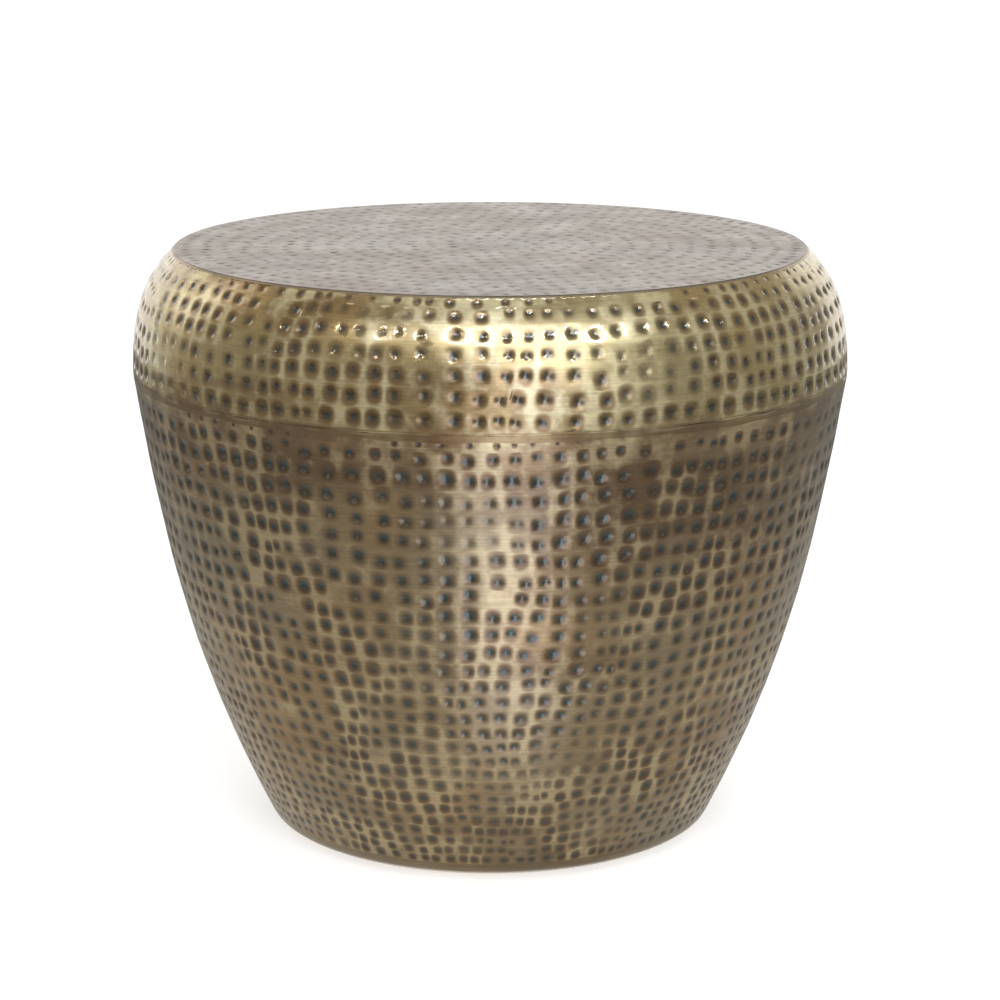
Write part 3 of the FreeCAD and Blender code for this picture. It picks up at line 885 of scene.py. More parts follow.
def disc_cells(radius: float, rings: int, sectors: int, work: HammerWork,
               rng: Random) -> tuple[Cells, Ints, Ints]:
    """Lay marks in rings on a disc, each ring with one more mark in each sector than the last.

    Neighbouring rings mesh like bricks in a triangular net, and sway in and out by DISC_SWAY. A
    cell's corner is the mean of the three marks round it, and the outermost lie on the disc's edge.

    Args:
        radius: the disc's radius.
        rings: how many rings of marks.
        sectors: marks in the first ring.
        work: the hammer work, for how far a mark strays.
        rng: source of the strays.
    Returns:
        The cells, the indices of the corners on the disc's edge in order, and those round the middle.
    """
    spacing = radius / (rings + 0.5)
    ring = np.repeat(np.arange(rings + 2), [1] + [sectors * k for k in range(1, rings + 2)])
    starts = np.concatenate([[0], 1 + sectors * np.cumsum(np.arange(rings + 2))])
    place = np.arange(ring.size) - starts[ring]
    angle = TURN * (place + 0.5 * (ring % 2)) / np.maximum(1, sectors * ring) * (ring > 0)
    stray = rng.normal(0, SCATTER, (ring.size, 2)) * work.stray * DISC_STRAY
    stray[ring > rings] = 0.0
    across = ring * spacing + DISC_SWAY * waves(rng, angle, 2, 7, shift=ring * 0.5) * (ring > 0)
    marks = across[:, None] * ray(angle) + stray
    corners, rims = [], []
    for level in range(rings + 1):
        here, beyond = sectors * level, sectors * (level + 1)
        count = np.arange(beyond)
        sector, step = np.divmod(count, level + 1)
        near = starts[level] + (sector * level + step) % max(1, here)
        far = starts[level + 1] + count
        further = starts[level + 1] + (count + 1) % beyond
        corners.append((marks[near] + marks[far] + marks[further]) / 3)
        if level:
            count = np.arange(here)
            sector, step = np.divmod(count, level)
            this = starts[level] + count
            after = starts[level] + (count + 1) % here
            above = starts[level + 1] + sector * (level + 1) + step + 1
            corners.append((marks[this] + marks[after] + marks[above]) / 3)

    def outward(level: int, sector: Ints, step: Ints) -> Ints:
        """Index of the corner that opens outwards from a mark of a ring."""
        return sectors * level ** 2 + (sector % sectors) * (level + 1) + step

    def inward(level: int, sector: Ints, step: Ints) -> Ints:
        """Index of the corner between two marks of a ring and one of the next."""
        return sectors * level ** 2 + sectors * (level + 1) + (sector % sectors) * level + step

    for level in range(1, rings + 1):
        sector, step = np.divmod(np.arange(sectors * level), level)
        first = step == 0
        inner = level - 1
        rims.append(np.stack([
            outward(level, sector, step),
            inward(level, sector, step),
            outward(inner, sector, step),
            np.where(first, outward(inner, sector - 1, level - 1), inward(inner, sector, step - 1)),
            np.where(first, inward(level, sector - 1, level - 1), outward(inner, sector, step - 1)),
            np.where(first, outward(level, sector - 1, level), inward(level, sector, step - 1)),
        ], axis=-1))
    places = np.concatenate(corners)
    last = np.arange(sectors * rings ** 2, sectors * (rings + 1) ** 2)
    bearing = np.arctan2(places[last, 1], places[last, 0])
    places[last] = radius * ray(bearing)
    kept = starts[rings + 1]
    cells = Cells(marks[1:kept], np.concatenate(rims), places, np.ones(kept - 1), np.ones(kept - 1), 0.0)
    return cells, last[np.argsort(bearing)], np.arange(sectors)


# ---------------------------------------------------------------- finishes

class Graph:
    """Node tree of a material or a world, with short calls for the nodes in use.

    A value is a number or another node's output, and a colour is three numbers or an output.
    """

    def __init__(self, owner: bpy.types.Material | bpy.types.World) -> None:
        """Open the owner's tree."""
        owner.use_nodes = True
        self.owner = owner
        self.tree = owner.node_tree

    @classmethod
    def blank(cls, name: str) -> "Graph":
        """Graph of a new material, with nothing in it yet."""
        graph = cls(bpy.data.materials.new(name))
        graph.tree.nodes.clear()
        return graph

    def put(self, socket: Socket, value: object) -> None:
        """Link a socket to another, or set its value."""
        if isinstance(value, Socket):
            self.tree.links.new(value, socket)
        elif isinstance(value, tuple) and len(value) == 3 and socket.type == "RGBA":
            socket.default_value = (*value, 1.0)
        else:
            socket.default_value = value

    def add(self, kind: str, inputs: dict[int | str, object] | None = None,
            **settings: object) -> Sequence[Socket]:
        """Add a node.

        Args:
            kind: its type, without the ShaderNode in front.
            inputs: what its inputs are given, by name or number.
            settings: its own settings.
        Returns:
            Its outputs.
        """
        node = self.tree.nodes.new("ShaderNode" + kind)
        for key, value in settings.items():
            setattr(node, key, value)
        for key, value in (inputs or {}).items():
            self.put(node.inputs[key], value)
        return node.outputs

    def surface(self, shader: Socket) -> bpy.types.Material:
        """Link a shader to the material's output, and hand the material over."""
        self.add("OutputMaterial", {"Surface": shader})
        return self.owner

    def principled(self, **values: object) -> bpy.types.Material:
        """Finish with a Principled shader, its inputs named with underscores for spaces."""
        inputs = {key.replace("_", " "): value for key, value in values.items()}
        return self.surface(self.add("BsdfPrincipled", inputs)[0])

    @cached_property
    def coordinate(self) -> Socket:
        """Place in the piece's own coordinates."""
        return self.add("TexCoord")["Object"]

    @cached_property
    def height(self) -> Socket:
        """Height above the floor, in metres."""
        return self.split(self.coordinate)[2]

    def attribute(self, name: str, output: str = "Vector") -> Socket:
        """Value of one of the mesh's own attributes."""
        return self.add("Attribute", attribute_name=name)[output]

    def length(self, vector: Socket) -> Socket:
        """Length of a vector."""
        return self.add("VectorMath", {0: vector}, operation="LENGTH")["Value"]

    def scale(self, vector: Socket, factors: Colour) -> Socket:
        """Vector with each number times its factor."""
        return self.add("VectorMath", {0: vector, 1: factors}, operation="MULTIPLY")["Vector"]

    def split(self, vector: Socket) -> tuple[Socket, ...]:
        """The three numbers of a vector."""
        return tuple(self.add("SeparateXYZ", {0: vector}))

    def math(self, operation: str, *values: object) -> Socket:
        """Result of a Math node."""
        return self.add("Math", dict(enumerate(values)), operation=operation)[0]

    def product(self, *factors: object) -> Socket:
        """Product of values."""
        return reduce(partial(self.math, "MULTIPLY"), factors)

    def sum(self, *terms: tuple[object, float]) -> Socket:
        """Sum of values, each times its weight."""
        return reduce(partial(self.math, "ADD"), [self.product(*term) for term in terms])

    def between(self, share: object, start: float, end: float) -> Socket:
        """Value that goes evenly from start to end."""
        return self.math("ADD", self.product(share, end - start), start)

    def noise(self, scale: float, *, detail: float = 3.0, roughness: float = 0.55,
              stretch: Colour = (1.0, 1.0, 1.0), shift: Colour = (0.0, 0.0, 0.0)) -> Socket:
        """Noise on the piece's coordinates, around 0.5.

        Args:
            scale: grains in a metre.
            detail: octaves.
            roughness: weight of the finer octaves.
            stretch: factors on the three axes, below 1 for a pattern drawn out along that axis.
            shift: start of the pattern, so that two noises differ.
        Returns:
            The noise's value.
        """
        place = self.add("Mapping", {"Vector": self.coordinate, "Scale": stretch, "Location": shift})
        inputs = {"Vector": place[0], "Scale": scale, "Detail": detail, "Roughness": roughness}
        return self.add("TexNoise", inputs)["Fac"]

    def fade(self, value: object, low: float, high: float, start: float = 0.0, end: float = 1.0) -> Socket:
        """Smooth step of a value from start, at low, to end, at high."""
        inputs = {"Value": value, "From Min": low, "From Max": high, "To Min": start, "To Max": end}
        return self.add("MapRange", inputs, interpolation_type="SMOOTHSTEP")["Result"]

    def blend(self, share: object, first: object, second: object, mode: str = "MIX") -> Socket:
        """Blend of two colours."""
        inputs = {"Factor": share, 6: first, 7: second}
        return self.add("Mix", inputs, data_type="RGBA", blend_type=mode, clamp_factor=True)[2]

    def shaded(self, colour: object, *step: object) -> Socket:
        """Colour times the smooth step of a value."""
        grey = self.add("CombineColor", dict.fromkeys(range(3), self.fade(*step)))[0]
        return self.blend(1.0, colour, grey, "MULTIPLY")

    def relief(self, value: object, strength: float, distance: float, under: Socket | None = None) -> Socket:
        """Normal of a bump whose full height is distance, in metres, laid over another normal."""
        inputs = {"Strength": strength, "Distance": distance, "Height": value}
        return self.add("Bump", inputs | ({} if under is None else {"Normal": under}))["Normal"]


@dataclass(frozen=True)
class Ageing:
    """Colours of one stretch of a sheet.

    They are those of rubbed crests, plain metal, patina, oxide in the marks and rust round it. The
    shares say how much of the patina, of the rubbing on the crests, and of the dark in the marks
    there is, and the sizes how far the dark reaches in a mark.
    """

    rubbed: Colour
    plain: Colour
    patina: Colour
    oxide: Colour
    rust: Colour
    patina_share: float
    crest_share: float = 0.4
    core_share: float = 0.9
    halo_share: float = 0.5
    core_size: float = 1.0
    halo_size: float = 1.0


class BrassGraph(Graph):
    """Graph of hammered brass, with the patterns that its colours and its skin share."""

    @cached_property
    def broad(self) -> Socket:
        """Broad clouds, a quarter of a metre wide."""
        return self.noise(4.2, detail=4.0, roughness=0.6)

    @cached_property
    def bands(self) -> Socket:
        """Flat clouds that lie round the drum."""
        return self.noise(5.0, detail=4.0, roughness=0.6, stretch=(0.35, 0.35, 4.0), shift=(1.2, 0.3, 0.8))

    @cached_property
    def cloud(self) -> Socket:
        """Clouds the size of a few marks."""
        return self.noise(21.0, detail=5.0, roughness=0.62, shift=(3.1, 1.7, 0.4))

    @cached_property
    def mottle(self) -> Socket:
        """Specks smaller than a mark."""
        return self.noise(120.0, detail=1.5, shift=(0.4, 5.2, 2.6))

    @cached_property
    def place(self) -> Socket:
        """Place in the hammer mark, in shares of its reach."""
        return self.attribute("place_in_mark")

    @cached_property
    def traits(self) -> tuple[Socket, ...]:
        """The mark's shade and fullness, and how much plain sheet is rubbed."""
        return self.split(self.attribute("mark_traits"))

    @cached_property
    def reach(self) -> Socket:
        """Way from the mark's middle, made ragged by the specks."""
        return self.sum((self.length(self.place), 1.0), (self.mottle, 0.20), (-0.10, 1.0))

    def within(self, size: Socket, low: float, high: float) -> Socket:
        """Share of dark in a mark: all of it up to low, and none from high, in units of a size."""
        return self.fade(self.math("DIVIDE", self.reach, size), low, high, 1.0, 0.0)


@dataclass(frozen=True)
class HammeredBrass:
    """Old brass sheet: rubbed bright on its crests, brown in patches, and oxidised in its marks.

    The ageing changes from below to above over a span of heights, in metres. The smear is a stain
    along the seam, at a height and as far up and down as smear_at says.
    """

    name: str
    below: Ageing
    above: Ageing
    change: Pair
    roughness: float
    change_stray: float = 0.0
    polish: float = 0.0
    smear: Colour | None = None
    smear_at: Pair = (0.3495, 0.011)
    brushing: Colour = (1.0, 1.0, 34.0)
    brushing_depth: float = 0.03
    upright: float = 1.0
    lacquer: float = 0.8
    lacquer_roughness: float = 0.11
    edge_tint: Colour = (1.0, 1.0, 1.0)
    tints: tuple[Colour, Colour] = ((1.07, 0.97, 0.84), (0.96, 1.0, 1.07))

    def aged(self, graph: BrassGraph) -> dict[str, Socket]:
        """The ageing at each height, by the names in Ageing: below's, then blended into above's.

        Args:
            graph: the material's graph.
        Returns:
            The colours, shares and sizes.
        """
        stray = graph.sum((graph.cloud, 0.6), (graph.broad, 0.4), (-0.5, 1.0))
        share = graph.fade(graph.sum((graph.height, 1.0), (stray, self.change_stray)), *self.change)
        aged = {}
        for key, value in vars(self.below).items():
            mixed = graph.blend if isinstance(value, tuple) else graph.between
            aged[key] = mixed(share, value, getattr(self.above, key))
        return aged

    def sheet(self, graph: BrassGraph, aged: dict[str, Socket]) -> Socket:
        """Colour of the sheet without its marks: patina and tints in clouds, and the smear.

        Args:
            graph: the material's graph.
            aged: the ageing.
        Returns:
            The colour.
        """
        handled = graph.fade(graph.height, 0.14, 0.34, -0.02, 0.03)
        worn = graph.sum((graph.broad, 0.30), (graph.bands, 0.36), (graph.cloud, 0.34), (handled, 1.0))
        patina = graph.product(graph.fade(worn, 0.455, 0.565), aged["patina_share"])
        colour = graph.blend(patina, aged["plain"], aged["patina"])
        tint = graph.blend(graph.fade(graph.noise(7.0, shift=(4.0, 1.0, 2.5)), 0.38, 0.62), *self.tints)
        colour = graph.blend(1.0, colour, tint, "MULTIPLY")
        if not self.smear:
            return colour
        middle, half = self.smear_at
        away = graph.sum((graph.height, 1.0), (graph.cloud, 0.016), (-0.008 - middle, 1.0))
        near = graph.fade(graph.math("ABSOLUTE", away), 0.2 * half, half, 1.0, 0.0)
        streaks = graph.noise(30.0, detail=5.0, roughness=0.65, stretch=(1.0, 1.0, 9.0),
                              shift=(0.7, 2.2, 5.0))
        share = graph.product(near, graph.fade(streaks, 0.36, 0.66), graph.fade(graph.bands, 0.40, 0.58))
        return graph.blend(share, colour, self.smear)

    def marked(self, graph: BrassGraph, aged: dict[str, Socket], colour: Socket, drawn: Socket) -> Socket:
        """Colour with the crests rubbed, brushed all over, and then the marks' rust and oxide.

        Args:
            graph: the material's graph.
            aged: the ageing.
            colour: the sheet's colour.
            drawn: the brushing.
        Returns:
            The colour.
        """
        tone, fullness, rubbing = graph.traits
        squashed = graph.length(graph.scale(graph.place, (1.0, self.upright, 1.0)))
        hollow = graph.product(graph.fade(squashed, 0.58, 1.06, 1.0, 0.0), fullness)
        crest = graph.product(graph.math("SUBTRACT", 1.0, hollow), rubbing, aged["crest_share"],
                              graph.fade(graph.cloud, 0.42, 0.60, 0.05, 1.0))
        colour = graph.shaded(graph.blend(crest, colour, aged["rubbed"]), drawn, 0.30, 0.72, 0.86, 1.12)
        halo = graph.product(graph.within(aged["halo_size"], 0.38, 0.96), fullness, aged["halo_share"])
        colour = graph.blend(halo, colour, aged["rust"])
        core = graph.product(graph.within(aged["core_size"], 0.30, 0.66),
                             graph.fade(tone, 0.0, 1.0, 0.6, 1.0), fullness, aged["core_share"],
                             graph.fade(graph.height, 0.02, 0.26, 0.76, 1.0))
        return graph.blend(core, colour, aged["oxide"])

    def material(self) -> bpy.types.Material:
        """Build the material, darkened near the floor by painted shade, which stands in for the metal's dark
        reflection of the contact shadow, and by some grime.

        Returns:
            The material, which reads the marks on the mesh's corners.
        """
        graph = BrassGraph.blank(self.name)
        aged = self.aged(graph)
        drawn = graph.noise(22.0, detail=4.0, roughness=0.7, stretch=self.brushing)
        colour = self.marked(graph, aged, self.sheet(graph, aged), drawn)
        # painted shade: the colour darkens over the last few centimetres above the floor, standing in for
        # the dark reflection of the contact shadow, along with some grime
        floor_shade_and_grime = graph.sum((graph.height, 1.0), (graph.cloud, 0.03), (-0.015, 1.0))
        colour = graph.shaded(colour, floor_shade_and_grime, 0.002, 0.034, 0.66, 1.0)
        rough = graph.math("ADD", graph.fade(graph.cloud, 0.3, 0.7, -0.05, 0.07), self.roughness)
        rough = graph.math("ADD", rough, graph.fade(graph.mottle, 0.3, 0.7, -0.03, 0.04))
        rough = graph.math("SUBTRACT", rough, graph.fade(graph.reach, 0.5, 1.0, self.polish, 0.0))
        normal = graph.relief(drawn, self.brushing_depth, 0.4 * MM)
        normal = graph.relief(graph.mottle, 0.02, 0.5 * MM, normal)
        return graph.principled(
            Base_Color=colour, Metallic=1.0, Roughness=rough, Normal=normal, Specular_Tint=self.edge_tint,
            Coat_Weight=self.lacquer, Coat_Roughness=self.lacquer_roughness)


@dataclass(frozen=True)
class BareMetal:
    """Plain metal with a drawn or rolled grain and a little soil."""

    name: str
    clean: Colour
    soiled: Colour
    roughness: float
    grain: float
    stretch: Colour = (1.0, 1.0, 1.0)

    def material(self) -> bpy.types.Material:
        """Build the material.

        Returns:
            The material.
        """
        graph = Graph.blank(self.name)
        soil = graph.noise(46.0, detail=5.0, roughness=0.65)
        grain = graph.noise(self.grain, stretch=self.stretch, shift=(2.0, 0.7, 1.1))
        colour = graph.blend(graph.fade(soil, 0.42, 0.68), self.clean, self.soiled)
        rough = graph.math("ADD", graph.fade(grain, 0.3, 0.7, -0.06, 0.10), self.roughness)
        normal = graph.relief(grain, 0.3, 0.3 * MM)
        return graph.principled(Base_Color=colour, Metallic=1.0, Roughness=rough, Normal=normal)


@dataclass(frozen=True)
class MouldedRubber:
    """Matt black rubber with a fine moulded skin and dust on it."""

    name: str
    black: Colour = (0.018, 0.018, 0.019)
    dusty: Colour = (0.060, 0.057, 0.052)

    def material(self) -> bpy.types.Material:
        """Build the material.

        Returns:
            The material.
        """
        graph = Graph.blank(self.name)
        dust = graph.noise(160.0, detail=6.0, roughness=0.7)
        skin = graph.noise(2600.0, detail=2.0)
        colour = graph.blend(graph.fade(dust, 0.44, 0.72), self.black, self.dusty)
        rough = graph.fade(dust, 0.3, 0.7, 0.58, 0.82)
        normal = graph.relief(skin, 0.25, 0.12 * MM)
        return graph.principled(Base_Color=colour, Roughness=rough, Normal=normal)


SHELL_BELOW = Ageing(
    rubbed=(0.88, 0.72, 0.44), plain=(0.475, 0.354, 0.208), patina=(0.250, 0.150, 0.076),
    oxide=(0.090, 0.124, 0.124), rust=(0.16, 0.100, 0.060), patina_share=0.9, crest_share=0.75,
    core_share=0.95, halo_share=0.56, halo_size=1.16)
SHELL_ABOVE = Ageing(
    rubbed=(0.99, 0.86, 0.50), plain=(0.595, 0.465, 0.218), patina=(0.32, 0.202, 0.085),
    oxide=(0.066, 0.084, 0.088), rust=(0.17, 0.110, 0.055), patina_share=0.9, crest_share=0.85,
    core_share=0.78, halo_share=0.52, core_size=0.86, halo_size=1.08)
TOP_UNDER = Ageing(
    rubbed=(0.66, 0.56, 0.38), plain=(0.56, 0.46, 0.30), patina=(0.40, 0.31, 0.20),
    oxide=(0.085, 0.073, 0.065), rust=(0.17, 0.13, 0.10), patina_share=0.6)
TOP_FACE = Ageing(
    rubbed=(0.262, 0.226, 0.197), plain=(0.236, 0.199, 0.168), patina=(0.206, 0.161, 0.130),
    oxide=(0.070, 0.059, 0.051), rust=(0.155, 0.118, 0.09), patina_share=0.6, crest_share=0.2,
    core_share=0.52, halo_share=0.26)


def with_shaded_cracks(ageing: Ageing) -> Ageing:
    """Same ageing, with near black in place of the marks' oxide and rust: painted shade in the bead's open
    cracks.
    """
    return replace(ageing, oxide=(0.03, 0.025, 0.02), rust=(0.05, 0.03, 0.02))


class Finish(Enum):
    """The finishes on the table."""

    TOP = HammeredBrass("hammered_brass_top", TOP_UNDER, TOP_FACE, (0.4490, 0.4497), 0.28,
                        brushing=(1.0, 26.0, 1.0), lacquer=0.2, lacquer_roughness=0.26,
                        edge_tint=(0.96, 0.935, 0.91), tints=((1.05, 0.99, 0.94), (0.98, 1.0, 1.01)))
    SHELL = HammeredBrass("hammered_brass_shell", SHELL_BELOW, SHELL_ABOVE, (0.3520, 0.3640), 0.32,
                          change_stray=0.09, polish=0.08, smear=(0.38, 0.22, 0.115), upright=0.78,
                          lacquer=0.85)
    # the braze's cracks are painted near black as shade, in place of oxide and rust
    BRAZE = replace(SHELL, name="dressed_braze", below=with_shaded_cracks(SHELL_BELOW),
                    above=with_shaded_cracks(SHELL_ABOVE), polish=0.0, upright=1.0)
    BAR_STEEL = BareMetal("mill_finish_bar", clean=(0.32, 0.31, 0.30), soiled=(0.16, 0.13, 0.11),
                          roughness=0.42, grain=700.0, stretch=(1.0, 1.0, 0.05))
    ZINC = BareMetal("zinc_plate", clean=(0.58, 0.60, 0.62), soiled=(0.40, 0.40, 0.37),
                     roughness=0.30, grain=2400.0)
    RUBBER = MouldedRubber("foot_rubber")

    def make(self) -> bpy.types.Material:
        """The finish's material, built on first use."""
        return bpy.data.materials.get(self.value.name) or self.value.material()


def dress(piece: bpy.types.Object, finish: Finish) -> None:
    """Give a whole piece one finish."""
    piece.data.materials.clear()
    piece.data.materials.append(finish.make())


# ---------------------------------------------------------------- the table's pieces

@dataclass
class TopSheet:
    """Flat disc of the top: hammered in rings, with a ground edge."""

    line: DrumLine
    rings: int = 15
    sectors: int = 7
    seed: int = 11
    work: HammerWork = HammerWork(basin_depth=0.06 * MM, bowl_depth=0.62 * MM, bowl_width=0.38,
                                  crest_dip=0.03 * MM)

    def build(self) -> bpy.types.Object:
        """Hammer the upper face, fold its edge down along the slope, and close it underneath.

        Returns:
            The piece.
        """
        rng = np.random.default_rng(self.seed)
        cells, edge, middle = disc_cells(self.line.top_radius, self.rings, self.sectors, self.work, rng)
        parts = MeshParts()
        at_rim = Hammer(parts, self.lay, self.work, rng).cover(cells, (edge,))
        hub = parts.add(self.lay(np.zeros((1, 2)), np.full(1, self.work.basin_depth)))
        parts.fan(at_rim[middle], hub[0])
        parts.creases.append(at_rim[edge])
        self.close(parts, at_rim[edge], cells.rim_places[edge])
        piece = parts.build("top_sheet")
        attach(piece, BODY)
        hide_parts("top_disc")
        dress(piece, Finish.TOP)
        return piece

    def lay(self, places: Floats, depth: Floats) -> Floats:
        """Points on the disc, sunk below its upper face by a depth."""
        return np.concatenate([places, (self.line.height - depth)[..., None]], axis=-1)

    def close(self, parts: MeshParts, edge: Ints, places: Floats) -> None:
        """Carry the edge down the slope to the flat underside and in to its middle.

        Args:
            parts: the mesh.
            edge: indices of the points on the upper edge, in order.
            places: the same points on the disc.
        """
        bearing = places / np.linalg.norm(places, axis=-1)[:, None]
        ring = edge
        for share in (1.0, 0.6):
            depth = np.full(len(places), self.line.top_gauge)
            lower = parts.add(self.lay(bearing * (share * self.line.disc_under_radius), depth))
            parts.join(lower, ring)
            parts.creases.append(lower)
            ring = lower
        hub = parts.add(self.lay(np.zeros((1, 2)), np.full(1, self.line.top_gauge)))
        parts.fan(ring[::-1], hub[0])


@dataclass
class ShoulderSheet:
    """Shoulder from the top's crease down over the widest ring to the edge of its skirt."""

    line: DrumLine
    rows: Rows = Rows(count=6, columns=102, first_pitch=14.0, last_pitch=15.0, lead=6.5 * MM,
                      lead_force=0.85)
    skirt_plain: float = 1.8 * MM
    edge_round: float = 0.9 * MM
    edge_wave: float = 0.22 * MM
    inner_depth: float = 3.4 * MM
    inner_start: float = 4.0 * MM
    swell: float = 0.35 * MM
    seed: int = 23
    work: HammerWork = HammerWork(full_reach=6.8 * MM, basin_depth=0.16 * MM, bowl_depth=1.20 * MM,
                                  bowl_width=0.50, bowl_edge=2.4, crest_dip=0.06 * MM, stray=2.0 * MM,
                                  rings=FINE_RINGS)

    def build(self) -> bpy.types.Object:
        """Hammer the shoulder, and carry plain sheet to the flange, the skirt's edge and back inside.

        Returns:
            The piece.
        """
        section = self.line.shoulder()
        rng = np.random.default_rng(self.seed)
        span = (float(section.joints[2]), section.length - self.skirt_plain)
        surface = SheetSurface(section, span, self.swell, rng)
        cells, first, last = rows_of_cells(section, self.rows, self.work, span, rng)
        at_rim = Hammer(surface.parts, surface.lay, self.work, rng).cover(cells, (first, last))
        upper, lower = cells.rim_places[first, 0], cells.rim_places[last, 0]
        rim_ways = section.stations(0.0, span[0], math.radians(15))[:-1]
        flange_edge = surface.strip(at_rim[first], upper, rim_ways[::-1], 0.0, back=True)
        wave = self.edge_wave * waves(rng, lower, 5, 40)
        skirt = surface.strip(at_rim[last], lower, [section.length - self.edge_round], 0.0)
        lip = surface.ring(lower, section.length - self.edge_wave + wave, 0.02 * MM)
        surface.parts.join(lip, skirt, RUBBED)
        under = surface.ring(lower, section.length, self.line.gauge)
        surface.parts.join(under, lip)
        surface.parts.creases.extend([lip, under, flange_edge])
        self.line_inside(surface, under, flange_edge, lower)
        piece = surface.parts.build("shoulder_sheet")
        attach(piece, BODY)
        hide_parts("shoulder_shell")
        dress(piece, Finish.SHELL)
        return piece

    def line_inside(self, surface: SheetSurface, ring: Ints, flange_edge: Ints, angle: Floats) -> None:
        """Carry the inner face up from the skirt, deeper under the marks, and join it to the flange.

        Args:
            surface: the sheet.
            ring: the ring to start from.
            flange_edge: the ring to end on.
            angle: angles of the ring's points.
        """
        section, (low, high) = surface.section, surface.span
        flange_end, slope_start = section.joints[1:3]
        ways = section.stations(0.0, section.length, math.radians(6))[:-1][::-1]
        ways = ways[(ways < flange_end - 0.1 * MM) | (ways > slope_start - 0.01 * MM)]
        marked = (ways > low + self.inner_start) & (ways < high)
        depths = np.where(marked, self.inner_depth, self.line.gauge)
        ring = surface.strip(ring, angle, ways, depths)
        surface.parts.join(flange_edge, ring)


@dataclass
class LowerSheet:
    """Body of the drum: neck, joggle, hammered wall, base turn, foot flange and lip."""

    line: DrumLine
    rows: Rows = Rows(count=27, columns=104, first_pitch=15.6, last_pitch=8.8, ease=1.5, lead=4.2 * MM)
    plain_top: float = 354.7 * MM
    plain_base: float = 16.5 * MM
    neck_sink: float = 2.1 * MM
    neck_turn: float = 3.0 * MM
    inner_depth: float = 3.4 * MM
    inner_start: float = 4.0 * MM
    swell: float = 0.35 * MM
    seed: int = 37
    work: HammerWork = HammerWork(bowl_depth=1.45 * MM, bowl_width=0.54, bowl_edge=2.6, stray=2.1 * MM)

    def build(self) -> bpy.types.Object:
        """Hammer the wall, and carry plain sheet up over the neck and down round the foot.

        Returns:
            The piece.
        """
        section = self.line.lower()
        rng = np.random.default_rng(self.seed)
        span = (section.way_to(self.plain_top), section.way_to(self.plain_base))
        surface = SheetSurface(section, span, self.swell, rng)
        cells, first, last = rows_of_cells(section, self.rows, self.work, span, rng)
        at_rim = Hammer(surface.parts, surface.lay, self.work, rng).cover(cells, (first, last))
        upper, lower = cells.rim_places[first, 0], cells.rim_places[last, 0]
        neck_end = float(section.joints[1])
        joggle = section.stations(neck_end, span[0], math.radians(16))[:-1][::-1]
        neck_edge = surface.strip(at_rim[first], upper, [*joggle, neck_end - self.neck_turn, 0.0],
                                  [0.0] * len(joggle) + [self.neck_sink] * 2, back=True)
        foot_ways = section.stations(span[1], section.length, math.radians(12))[1:]
        lip = surface.strip(at_rim[last], lower, foot_ways, 0.0)
        ways = section.stations(neck_end, section.length, math.radians(14))
        ways = np.concatenate([[0.0, neck_end - self.neck_turn], ways])[::-1]
        marked = (ways > span[0]) & (ways < span[1] - self.inner_start)
        depths = np.where(marked, self.inner_depth, self.line.gauge)
        depths[ways < neck_end] = self.line.gauge + self.neck_sink
        inner = surface.strip(lip, lower, ways, depths)
        surface.parts.join(neck_edge, inner)
        surface.parts.creases.extend([lip, neck_edge])
        piece = surface.parts.build("lower_sheet")
        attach(piece, BODY)
        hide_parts("lower_shell")
        dress(piece, Finish.SHELL)
        return piece


